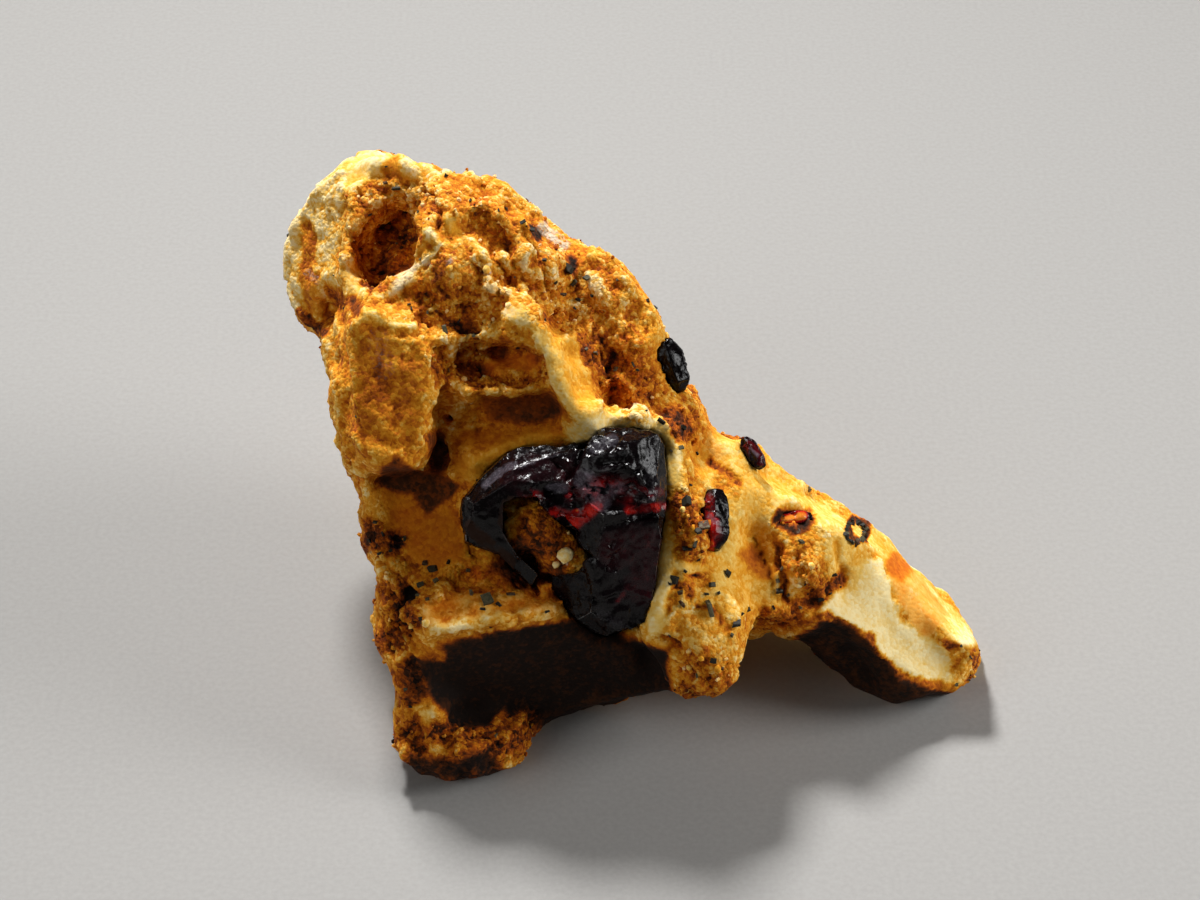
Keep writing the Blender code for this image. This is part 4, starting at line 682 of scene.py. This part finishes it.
grit_height = add("TexNoise", {"Vector": place, "Scale": ROCK_GRIT_PER_MM, "Detail": 4.0, "Roughness": 0.7})
packed = add("Math", {0: grains.outputs["Distance"], 1: -1.2, 2: grit_height}, operation="MULTIPLY_ADD")
grain_depth = add("MapRange", {"Value": rough_value, "To Min": 0.16})
bump = add("Bump", {"Strength": grain_depth, "Distance": ROCK_BUMP, "Height": packed})
skin = add("BsdfPrincipled", {
    "Base Color": glazed, "Roughness": dullness, "IOR": 1.55, "Specular IOR Level": 0.18, "Normal": bump,
})
add("OutputMaterial", {"Surface": skin})
stone.data.materials.append(rock)
stone.data.shade_smooth()
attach(stone, "root")
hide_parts("matrix")

# -----------------------------------------------------------------------------
# Crumbs of rust: well over a thousand loose-looking grains of limonite and iron-stained carbonate. They
# broke off where the rough ground is falling apart, and its rust cements them on.

CRUMBS = 1700
CRUMB_GROUND = 0.55  # they lie where the rock is rougher than this
SMALLEST_CRUMB = 0.06  # half sizes in millimetres
CRUMB_GROWTH = 0.16
GRAIN_STRETCH = (0.65, 1.25)  # a grain is this much shorter or longer along each axis
CRUMB_JITTER = 0.3  # corners are knocked in or out by up to this share of the size
CRUMB_SHADES = (-0.45, 0.3)  # how their stain differs from the ground's
GRAIN_LIFT = 0.25  # share of its half size by which a grain's middle stands off the ground
chance = np.random.default_rng(7)


def scatter(name, places, outs, sizes, shape, jitter):
    """One mesh of many grains, each a copy of a small mesh, knocked out of shape, turned and bedded in."""
    template = read_points(shape)
    grain_count = len(places)
    bodies = np.repeat(template[None], grain_count, axis=0)
    bodies *= chance.uniform(1 - jitter, 1 + jitter, (grain_count, len(template), 1))
    bodies *= chance.uniform(*GRAIN_STRETCH, (grain_count, 1, 3))
    for index in range(grain_count):
        axis = Vector(chance.normal(size=3)).normalized()
        bodies[index] = bodies[index] @ np.array(Matrix.Rotation(chance.uniform(0, math.tau), 3, axis))
    sizes = sizes[:, None, None]
    bodies = bodies * sizes + places[:, None] + outs[:, None] * sizes * GRAIN_LIFT
    bodies[..., 2] = np.maximum(bodies[..., 2], 0)
    faces = np.array([tuple(face.vertices) for face in shape.polygons])
    faces = faces[None] + (np.arange(grain_count) * len(template))[:, None, None]
    mesh = bpy.data.meshes.new(name)
    mesh.from_pydata(bodies.reshape(-1, 3), [], faces.reshape(-1, 3).tolist())
    return new_object(name, mesh)


ball = bmesh.new()
bmesh.ops.create_icosphere(ball, subdivisions=1, radius=1)
pebble = new_mesh("pebble", ball)
corners_each = len(pebble.vertices)

at = chance.choice(np.flatnonzero(rough > CRUMB_GROUND), CRUMBS)
crumb_sizes = (SMALLEST_CRUMB + CRUMB_GROWTH * chance.random(CRUMBS) ** 3) * MM
crumbs = scatter("limonite_crumbs", stone_points[at], stone_normals[at], crumb_sizes, pebble, CRUMB_JITTER)
crumb_stain = np.clip(stain[at] + chance.uniform(*CRUMB_SHADES, CRUMBS), 0.02, 0.97)
store(
    crumbs.data, stain=np.repeat(crumb_stain, corners_each), rough=0.45, chalk=0,
    amber=np.repeat(amber[at], corners_each), sunk=0,
)
crumbs.data.materials.append(rock)
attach(crumbs, "root")

# -----------------------------------------------------------------------------
# Pale grains: a few rounded bits of clean carbonate that weathered out of the rock, the largest one sitting
# in the rust that fills the large crystal's hollow.

# Half size in millimetres, then where each grain sits on the display face
PALE_SPOTS = (
    (0.62, (-2.2, -7.1)), (0.3, (-2.7, -7.7)), (0.3, (-7.4, 11.9)), (0.24, (-10, 12.4)),
    (0.3, (-11.7, -11.3)), (0.32, (-10.6, -10.2)), (0.28, (-12.8, -11.7)), (0.28, (6.7, -13.7)),
    (0.3, (7.7, -14.7)), (0.24, (5.7, -14.5)), (0.26, (14.1, -7.9)), (0.24, (13.2, -9.2)),
    (0.22, (6.1, -5.3)), (0.22, (5.3, -4.1)),
)
PALE_LIFT = 1.6  # they stand this many times as far out as crumbs
PALE_STAINS = (0.1, 0.35)
PALE_JITTER = 0.18
PALE_SEAT = 0.3  # each sits on the foremost rock within this of its spot
BEAD_STAIN = 0.05  # the first two grains, the bead in the hollow, are the cleanest
stone_face = face_position(stone_points)
stone_drawn = drawn_position(stone_face)


def seat_at(spot, reach):
    """The stone's foremost vertex within this reach of a drawn spot."""
    close = np.linalg.norm(stone_drawn - np.array(spot), axis=1) < reach
    return np.where(close, stone_face[:, 2], -np.inf).argmax()


seats = [seat_at(spot, PALE_SEAT) for _, spot in PALE_SPOTS]
pale_sizes = np.array([half_size for half_size, _ in PALE_SPOTS]) * MM
pale_grains = scatter(
    "pale_grains", stone_points[seats], stone_normals[seats] * PALE_LIFT, pale_sizes, pebble, PALE_JITTER
)
pale_stain = chance.uniform(*PALE_STAINS, len(PALE_SPOTS))
pale_stain[:2] = BEAD_STAIN
store(pale_grains.data, stain=np.repeat(pale_stain, corners_each), rough=0.2, chalk=0, amber=0, sunk=0)
pale_grains.data.shade_smooth()
pale_grains.data.materials.append(rock)
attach(pale_grains, "root")

# -----------------------------------------------------------------------------
# Dark grains: angular bits of a black-green silicate and of magnetite, a third of a millimetre to a
# millimetre across, bedded in the carbonate in small clusters and in one ring.

# Half size in millimetres, then where on the display face each grain of that size sits
GRAIN_SPOTS = {
    "large": (0.42, (-7.4, -9.8), (8.8, -8.3), (7.5, -10.5), (6.9, -4.7), (5.7, -3.3), (9.4, -11.4),
        (-11.3, -7.7), (-1.9, 12),
    ),
    "middle": (0.28, (-8.7, -9.3), (-6, -9.3), (-11.9, -7.3), (-10.9, -8.5), (-11.9, -8.7), (5.3, -9.3),
        (5.2, -10.1), (7.8, -8.8), (6.7, -5.3), (5.1, -8.7), (6.5, -6.5), (5.7, -6.9), (13.5, -5.9),
        (-1.5, 11.1), (-1.1, 11.6), (-2.2, 10.5), (-4.3, 14.5), (-10.3, 8.3), (-13.9, 17.4), (4.3, 2.1),
        (5.8, 1.7), (11.7, -9.3), (11.5, -10.2), (7.5, -14.1),
    ),
    "small": (0.18, (-3.4, -10.6), (-6.8, -10.1), (-8, -10.3), (-10.2, -7.3), (-12.4, -9.5), (-11.5, -9.6),
        (-8.7, -8.2), (4.5, -8.7), (8.1, -9.5), (7.1, -9.3), (6, -8), (6.6, -7.5), (9.7, -10.8),
        (10.1, -10.4), (9, -12.3), (6.7, -13.9), (8.3, -14.5), (6.2, -15.1), (12.1, -8.9), (12.4, -9.9),
        (13.5, -10.4), (14.5, -10.1), (15.4, -9.3), (15.9, -8.4), (-2.7, 11), (-0.7, 10), (-1.4, 10),
        (-3.7, 12.5), (-5.3, 15), (-6.8, 16.1), (-8.7, 16.9), (-14.3, 18.1), (-14.5, 18.7), (-12.6, 10),
        (-15.3, -4.8), (-14.4, -5.3), (-15.6, -5.9), (-13.9, -6.5), (-14.9, -6.7), (-13.1, -5.7),
        (-12.5, 9.7), (-11.7, 9.3), (-9.3, 8.5), (-8.5, 7.9), (0, 6.5), (0.8, 5.6), (-1, 7), (2.7, 5.2),
        (3.7, 0.7), (4.5, 0.1), (5.5, 0.4), (6.7, -0.1), (24.3, -13.2), (24.9, -14), (25, -15.1),
        (24, -15.7),
    ),
}
RING_AT = (17.2, -5.3)  # a ring of grains round a tan core, high on the arm
RING_SPAN = (0.6, 0.7)
RING_GRAINS = 22
RING_GRAIN_SIZE = 0.22
STRAY_GRAINS = 130  # smaller ones anywhere on rough ground
STRAY_GROUND = 0.45
STRAY_SIZES = (0.09, 0.2)
SHARD_SIDES = (1.7, 1.275, 0.765)  # of a grain whose half size is one
DARK_JITTER = 0.3
DARK_SEAT = 0.35
DARK_LIFT = 0.4  # they stand this many times as far out as crumbs
seats = []
grain_sizes = []
for half_size, *spots in GRAIN_SPOTS.values():
    for spot in spots:
        seats.append(seat_at(spot, DARK_SEAT))
        grain_sizes.append(half_size)
for turn in np.arange(0, math.tau, math.tau / RING_GRAINS):
    spot = np.array(RING_AT) + (RING_SPAN[0] * math.cos(turn), RING_SPAN[1] * math.sin(turn))
    seats.append(seat_at(spot, DARK_SEAT))
    grain_sizes.append(RING_GRAIN_SIZE)
block = bmesh.new()
bmesh.ops.create_cube(block, size=1)
bmesh.ops.scale(block, vec=SHARD_SIDES, verts=block.verts[:])
bmesh.ops.triangulate(block, faces=block.faces[:])
shard = new_mesh("shard", block)
strays = chance.choice(np.flatnonzero(rough > STRAY_GROUND), STRAY_GRAINS)
seats = np.concatenate([seats, strays])
grain_sizes = np.concatenate([grain_sizes, chance.uniform(*STRAY_SIZES, STRAY_GRAINS)]) * MM
dark_grains = scatter(
    "dark_grains", stone_points[seats], stone_normals[seats] * DARK_LIFT, grain_sizes, shard, DARK_JITTER
)
store(dark_grains.data, hue=np.repeat(chance.random(len(seats)), len(shard.vertices)))

# Black-green silicate: dull glassy grains, from nearly black through green-grey to rusty brown
GRAIN_HUES = ((0.0, "#17140B"), (0.45, "#29261A"), (0.7, "#45412C"), (0.85, "#625B41"), (1.0, "#41220D"))
DARK_MOTTLES_PER_MM = 5.0
DARK_BUMP = 0.05 * MM
dark_mineral, add, place, stored = new_material("black_green_silicate", "hue")
mottle = add("TexNoise", {"Vector": place, "Scale": DARK_MOTTLES_PER_MM, "Detail": 3.0})
mixed = add("Math", {0: mottle, 1: 0.6, 2: stored[0]}, operation="MULTIPLY_ADD")
shifted = add("Math", {0: mixed, 1: 0.3}, operation="SUBTRACT")
grain_colour = add("ValToRGB", {"Fac": shifted}, GRAIN_HUES)
wear = add("MapRange", {"Value": mottle, "To Min": 0.5, "To Max": 0.9})
bump = add("Bump", {"Strength": 0.4, "Distance": DARK_BUMP, "Height": mottle})
skin = add("BsdfPrincipled", {
    "Base Color": grain_colour, "Roughness": wear, "Specular IOR Level": 0.3, "Normal": bump,
})
add("OutputMaterial", {"Surface": skin})
dark_grains.data.materials.append(dark_mineral)
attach(dark_grains, "root")

# -----------------------------------------------------------------------------
# The large crystal: clinohumite, a dark garnet-red silicate. It grew in the rock and was broken open, so it
# has a few glossy growth faces, black where it is thick, and a shattered middle where light gets in.

# Where light comes back out of the crystals: how far from black through red to orange, reach, path
GLOWS = {
    "hook": (0.26, 1.6, (-6, -1.7), (-4, -1), (-2, -1.7)),
    "inner_hook": (0.42, 0.6, (-5.3, -2.8), (-3.7, -3.2)),
    "left_glow": (0.6, 0.6, (-3.1, -4.1), (-2, -4.4)),
    "middle_glow": (0.7, 0.75, (-1.7, -4.9), (-0.9, -4.3), (-0.2, -3.6)),
    "middle_bright": (0.78, 0.3, (-1.5, -4.9), (-0.7, -4.1)),
    "right_band": (0.64, 0.5, (1.9, -4), (3, -3.9), (4.1, -3.7)),
    "upper_right": (0.45, 0.6, (2.7, -2.9), (3.9, -2.8)),
    "fractured": (0.46, 1.4, (-1.7, -2.7), (0.3, -2.5), (1.9, -2.8)),
    "purple_dark": (0.34, 0.9, (-2.3, -1.2), (-1.5, -1.9)),
    "lower_face": (0.34, 2, (1, -6.7), (3.3, -6.3), (3, -9.3)),
    "lower_streak": (0.42, 0.3, (1.2, -10.1), (1.9, -9.2), (2.4, -8.3)),
    "bead": (1, 0.22, (-1.6, -4.1)),
    "red_crystal": (0.5, 0.8, (7.2, -3.3), (7.7, -5.7)),
    "red_crystal_low": (0.86, 0.5, (7.4, -6.3), (7.3, -6.7)),
    "sprig": (0.42, 0.8, (9.9, 0.3), (11, -1)),
    "lens": (0.98, 0.6, (12.3, -4.6), (13.5, -4.4)),
}
# Painted grey-lilac sheen, standing in for reflections off glossy facets and inner cracks: strength, reach,
# path
PAINTED_SHEEN = {
    "hook_bevel": (0.5, 0.45, (-7.7, -2.3), (-6.7, -1.4), (-5.7, -1.1)),
    "hook_line": (0.35, 0.2, (-5.4, -1.3), (-4, -0.7), (-2.7, -0.3)),
    "lilac_facet": (0.8, 0.45, (-3.3, -2.6), (-2.5, -2.5)),
    "head_facet": (0.36, 0.7, (-0.3, 0.1), (0.8, 0.7)),
    "right_facet": (0.2, 1, (3.5, -0.3), (3.5, -3)),
    "tan_patch": (0.7, 0.6, (0.5, -2.7), (1.3, -2.5)),
    "fractured": (0.65, 1.1, (-1, -2), (0, -3.3)),
    "low_facet": (0.2, 0.8, (0, -10.8), (1.5, -11.7)),
    "red_crystal": (0.7, 0.28, (7.3, -4.4), (7.7, -4.8)),
    "sprig": (0.7, 0.25, (10, 0.1), (10.5, -0.3)),
}
# How badly the crystal is shattered: strength, reach, path
SHATTERED = {
    "all_over": (0.16, 40, (0, 0)),
    "middle": (1, 1.5, (-2.3, -3.7), (-0.7, -2.7), (1.7, -2.7)),
    "right": (0.8, 0.9, (2, -3.3), (3.7, -3.7)),
    "top": (0.28, 0.9, (0.7, -0.3), (2, -1.3)),
    "inner_hook": (0.5, 0.9, (-4.7, -3), (-2.7, -2.3)),
    "lower": (0.3, 1.4, (0.7, -6), (2.7, -7.3)),
}
# Steps, seams and ridges of the growth faces: height, half width, path
STEPS = {
    "long_step": (-0.28, 0.26, (0, -0.9), (1.9, -0.7)),
    "squiggle": (-0.22, 0.2, (1.7, -1.2), (2.2, -1.7), (2.7, -1.2), (3.3, -2.5)),
    "short_step": (-0.2, 0.2, (2.7, -2.6), (3.4, -3.1)),
    "lilac_step": (-0.25, 0.25, (-3.5, -3), (-2.3, -2.7)),
    "band_step": (-0.2, 0.22, (0.4, -5.2), (1.5, -4.9), (2.9, -4.5), (4.1, -4.3)),
    "hook_seam": (0.16, 0.2, (-7.5, -2.5), (-6.1, -1.7), (-5.4, -1.3), (-2.7, -0.3)),
    "arc": (-0.35, 0.3, (-3.8, -3.5), (-2.9, -4.1), (-2.3, -4.9), (-1.7, -5.6)),
    "split": (-0.35, 0.25, (-1.1, 0.4), (-1.5, -0.8), (-2.3, -2)),
    "head_vee": (-0.16, 0.18, (0.6, -0.3), (1.5, 1.1)),
    "right_edge": (0.14, 0.25, (2.4, 0.3), (2.7, -1.3), (2.4, -3.3)),
    "low_edge": (0.16, 0.25, (0.1, -9.7), (1.7, -9.3), (3.7, -10)),
}
# Rust still sticking to the large crystal: strength, reach, path
RUSTED = {
    "hook_low": (1, 0.8, (-8.7, -5.2), (-7.5, -6.3), (-6.1, -7.5)),
    "hook_inner": (0.8, 0.45, (-6.4, -3.5), (-6.6, -4.9), (-5.7, -6.3), (-4.7, -7.5)),
    "above_infill": (0.8, 0.35, (-6, -3.2), (-4.7, -3.5), (-3.7, -4)),
    "hook_left": (0.45, 0.5, (-9.1, -3.2), (-9, -4.7)),
    "lobe": (0.6, 0.5, (-3.5, -8.3), (-1.9, -8.1), (-0.9, -7.3)),
    "lobe_low": (0.5, 0.9, (-1.7, -10), (0, -11.7)),
    "low_edge": (0.5, 0.5, (0, -12.4), (2.7, -12.1)),
}
FLAT = math.radians(2)  # faces that meet at less than this are one
SHARP = math.radians(12)  # and edges sharper than this are worn
FACING_FROM = -0.2  # what is drawn fades in as a face turns from here towards the viewer
FACING_FADE = 0.3
EDGE_WEAR = 0.09  # how far the sharp edges are worn back
SLIVER = 0.001  # edges shorter than this are closed up
CUTS = 7  # each halves the edges that are still too long
LARGE_CRYSTAL_GRID = 0.3


def worn_facets(node, longest):
    """A crystal in face millimetres with worn edges, its flat faces cut into triangles up to this long."""
    piece = node_copy(node, node + "_look")
    bm = bmesh.new()
    bm.from_mesh(piece.data)
    bmesh.ops.dissolve_limit(bm, angle_limit=FLAT, verts=bm.verts[:], edges=bm.edges[:])
    sharp = [edge for edge in bm.edges if edge.calc_face_angle(0) > SHARP]
    bmesh.ops.bevel(
        bm, geom=sharp, offset=EDGE_WEAR, segments=2, profile=0.5, material=-1,
        affect="EDGES", clamp_overlap=True,
    )
    bmesh.ops.triangulate(bm, faces=bm.faces[:], quad_method="SHORT_EDGE")
    for _ in range(CUTS):
        long_edges = [edge for edge in bm.edges if edge.calc_length() > longest]
        bmesh.ops.subdivide_edges(bm, edges=long_edges, cuts=1)
        cut = [face for face in bm.faces if len(face.verts) > 3]
        bmesh.ops.triangulate(bm, faces=cut, quad_method="SHORT_EDGE")
    bmesh.ops.dissolve_degenerate(bm, edges=bm.edges[:], dist=SLIVER)
    bm.to_mesh(piece.data)
    bm.free()
    return piece


# Fractures, in millimetres: flakes and splinters where the crystal is shattered, broad facets and ripples
# all over it
FLAKE_SIZE = 0.95
FLAKE_HEIGHT = 0.36
SPLINTER_SIZE = 0.45
SPLINTER_HEIGHT = 0.12
FRACTURE_SINK = 0.1
FACET_SIZE = 3.4
FACET_HEIGHT = 0.16
RIPPLE_SIZE = 1.9
RIPPLE_HEIGHT = 0.05
FINE_SPLINTER_HEIGHT = 0.02
BODY_GLOW = 0.1
RIPPLE_GLOW = 0.12
FLAKE_GLOW = 0.2  # flakes swing the glow where it is between these
FLAKE_GLOWS = (0.4, 0.9)
CREASE = math.radians(22)  # shading is smooth up to this angle


def finish_crystal(piece, shatter):
    """Works a crystal's steps and fractures, and stores what its material reads."""
    points = read_points(piece.data)
    normals = read_normals(piece.data)
    drawn = drawn_position(points)
    toward = np.clip((normals[:, 2] - FACING_FROM) / FACING_FADE, 0, 1)
    flakes = field(points, FLAKE_SIZE, 11.0, broken_height)
    splinters = field(points, SPLINTER_SIZE, 4.0, broken_height)
    facets = field(points, FACET_SIZE, 5.0, broken_height)
    ripple = field(points, RIPPLE_SIZE, 2.0)
    fractures = FLAKE_HEIGHT * flakes + SPLINTER_HEIGHT * splinters - FRACTURE_SINK
    faces = FACET_HEIGHT * facets + RIPPLE_HEIGHT * ripple + FINE_SPLINTER_HEIGHT * splinters
    rise = toward * (relief_of(drawn, STEPS) + strongest(drawn, shatter) * fractures + faces)
    points += normals * rise[:, None]
    glow = BODY_GLOW + RIPPLE_GLOW * ripple
    for level, reach, *path in GLOWS.values():
        flaked = FLAKE_GLOW * flakes if FLAKE_GLOWS[0] < level < FLAKE_GLOWS[1] else 0
        glow += covered(drawn, path, reach) * (level + flaked - glow)
    write_points(piece.data, scene_position(points))
    # Painted sheen, standing in for reflections off facets and inner cracks
    veil = strongest(drawn, PAINTED_SHEEN)
    store(piece.data, glow=np.clip(glow, 0, 1), veil=veil, rusted=strongest(drawn, RUSTED))
    piece.data.shade_smooth()
    piece.data.set_sharp_from_angle(angle=CREASE)
    piece.data.materials.append(gem)


# Clinohumite: glassy, nearly opaque garnet red, black where thick and glowing red where it is cracked, with
# a painted grey-lilac sheen standing in for reflections on its facets and a brown film where rust sticks
GLOW_STAGES = (
    (0.0, "#040303"), (0.2, "#0D0508"), (0.36, "#260C10"), (0.5, "#55090F"), (0.65, "#920E0C"),
    (0.82, "#CC2010"), (1.0, "#E98A2A"),
)
SHEEN_GREY = "#8E8794"
RUST_FILM = "#261104"
GEM_RED = "#B8180C"
GEM_ABSORPTION = 320.0
CLOUDS_PER_MM = 1.7
SCUFFS_PER_MM = 5.0
SCUFF_BUMP = 0.05 * MM
gem, add, place, stored = new_material("clinohumite", "glow", "veil", "rusted")
glow_value, veil_value, rusted_value = stored
clouds = add("TexNoise", {"Vector": place, "Scale": CLOUDS_PER_MM, "Detail": 5.0, "Roughness": 0.6})
swung = add("Math", {0: clouds, 1: 0.3, 2: glow_value}, operation="MULTIPLY_ADD")
level = add("Math", {0: swung, 1: 0.15}, operation="SUBTRACT")
body = add("ValToRGB", {"Fac": level}, GLOW_STAGES)
scuffs = add("TexNoise", {"Vector": place, "Scale": SCUFFS_PER_MM, "Detail": 4.0, "Roughness": 0.65})
# Painted sheen: grey-lilac mixed into the colour where facets would show reflections
sheen_cut = add("Math", {0: scuffs, 1: veil_value}, operation="MULTIPLY")
sheen_amount = add("MapRange", {"Value": sheen_cut, "From Min": 0.08, "From Max": 0.6, "To Max": 0.6})
sheened = add("Mix", {0: sheen_amount, 6: body, 7: srgb(SHEEN_GREY)}, data_type="RGBA").outputs[2]
rust_cut = add("Math", {0: clouds, 1: rusted_value}, operation="MULTIPLY")
rust_amount = add(
    "MapRange", {"Value": rust_cut, "From Min": 0.18, "From Max": 0.5, "To Max": 0.92},
    interpolation_type="SMOOTHSTEP",
)
rusty = add("Mix", {0: rust_amount, 6: sheened, 7: srgb(RUST_FILM)}, data_type="RGBA").outputs[2]
polish = add(
    "MapRange", {"Value": scuffs, "From Min": 0.4, "From Max": 0.75, "To Min": 0.08, "To Max": 0.5}
)
dulled = add("Math", {0: rust_amount, 1: 0.6, 2: polish}, operation="MULTIPLY_ADD")
bump = add("Bump", {"Strength": 0.35, "Distance": SCUFF_BUMP, "Height": scuffs})
skin = add("BsdfPrincipled", {
    "Base Color": rusty, "Roughness": dulled, "IOR": 1.65, "Specular IOR Level": 0.055,
    "Transmission Weight": 0.15, "Normal": bump,
})
absorption = add("VolumeAbsorption", {"Color": srgb(GEM_RED), "Density": GEM_ABSORPTION})
add("OutputMaterial", {"Surface": skin, "Volume": absorption})

crystal = worn_facets("clinohumite_crystal", LARGE_CRYSTAL_GRID)
finish_crystal(crystal, SHATTERED)
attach(crystal, "root")
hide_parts("clinohumite_crystal")

# -----------------------------------------------------------------------------
# The small crystals: four more clinohumites in the rock, stubby prisms and a lens seen end on. Two are black
# on the skyline, one has a bright red low end, and the lens is orange inside a black rim.

SMALL_CRYSTAL_GRID = 0.25
NICKED = {"anywhere": (0.25, 40, (0, 0))}
for node in ("clinohumite_edge", "clinohumite_red", "clinohumite_sprig", "clinohumite_lens"):
    small = worn_facets(node, SMALL_CRYSTAL_GRID)
    finish_crystal(small, NICKED)
    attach(small, "root")
    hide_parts(node)

# -----------------------------------------------------------------------------
# The table top that the stone stands on: a sheet of pale grey card, pressed smooth. It is matt, with a
# faint tooth of paper fibres.

FLOOR_HALF = 1.2
FIBRES_PER_MM = 2.6
CARD_GREYS = ((0.3, "#94928F"), (0.7, "#9A9895"))
CARD_BUMP = 0.02 * MM
sheet = bmesh.new()
bmesh.ops.create_grid(sheet, x_segments=1, y_segments=1, size=FLOOR_HALF)
floor = new_object("floor", new_mesh("floor", sheet))
card, add, place, _ = new_material("matt_card")
fibres = add("TexNoise", {"Vector": place, "Scale": FIBRES_PER_MM})
card_colour = add("ValToRGB", {"Fac": fibres}, CARD_GREYS)
bump = add("Bump", {"Strength": 0.05, "Distance": CARD_BUMP, "Height": fibres})
skin = add("BsdfPrincipled", {"Base Color": card_colour, "Roughness": 0.9, "Normal": bump})
add("OutputMaterial", {"Surface": skin})
floor.data.materials.append(card)

# -----------------------------------------------------------------------------
# Lights and camera: a soft key lamp from above and behind, one low on the right and a weak fill from the
# left front, in a dim room. The camera looks square at the display face.

# Each lamp's place in metres, its width and its power in watts
LAMPS = {
    "key": ((-0.12, 0.30, 0.42), 0.1, 0.82),
    "right": ((0.46, 0.0, 0.24), 0.3, 0.47),
    "fill": ((-0.30, -0.25, 0.26), 0.3, 0.105),
}
LAMP_SPREAD = math.radians(80)  # the lamps are gridded, so that the floor under each stays even
LAMP_AIM = Vector((0, 0, 15 * MM))
ROOM_COLOUR = "#FFFDF9"
ROOM_STRENGTH = 0.07
LENS = 90
SENSOR = 36
for name, (stand, width, power) in LAMPS.items():
    light = bpy.data.lights.new(name, "AREA")
    light.shape = "DISK"
    light.size = width
    light.energy = power
    light.spread = LAMP_SPREAD
    lamp = new_object(name, light)
    lamp.location = stand
    lamp.rotation_euler = (LAMP_AIM - Vector(stand)).to_track_quat("-Z", "Y").to_euler()
room = bpy.data.worlds.new("studio")
room.use_nodes = True
room.node_tree.nodes["Background"].inputs["Color"].default_value = srgb(ROOM_COLOUR)
room.node_tree.nodes["Background"].inputs["Strength"].default_value = ROOM_STRENGTH
bpy.context.scene.world = room
bpy.context.scene.view_settings.view_transform = "Standard"

camera_data = bpy.data.cameras.new("camera")
camera_data.lens = LENS
camera_data.sensor_width = SENSOR
camera_data.clip_start = 10 * MM
camera = new_object("camera", camera_data)
eye = Vector(FACE_ORIGIN) + Vector(FACE_AXES[2]) * VIEW_DISTANCE * MM
camera.matrix_world = Matrix.Translation(eye) @ Matrix(FACE_AXES.tolist()).transposed().to_4x4()
bpy.context.scene.camera = camera
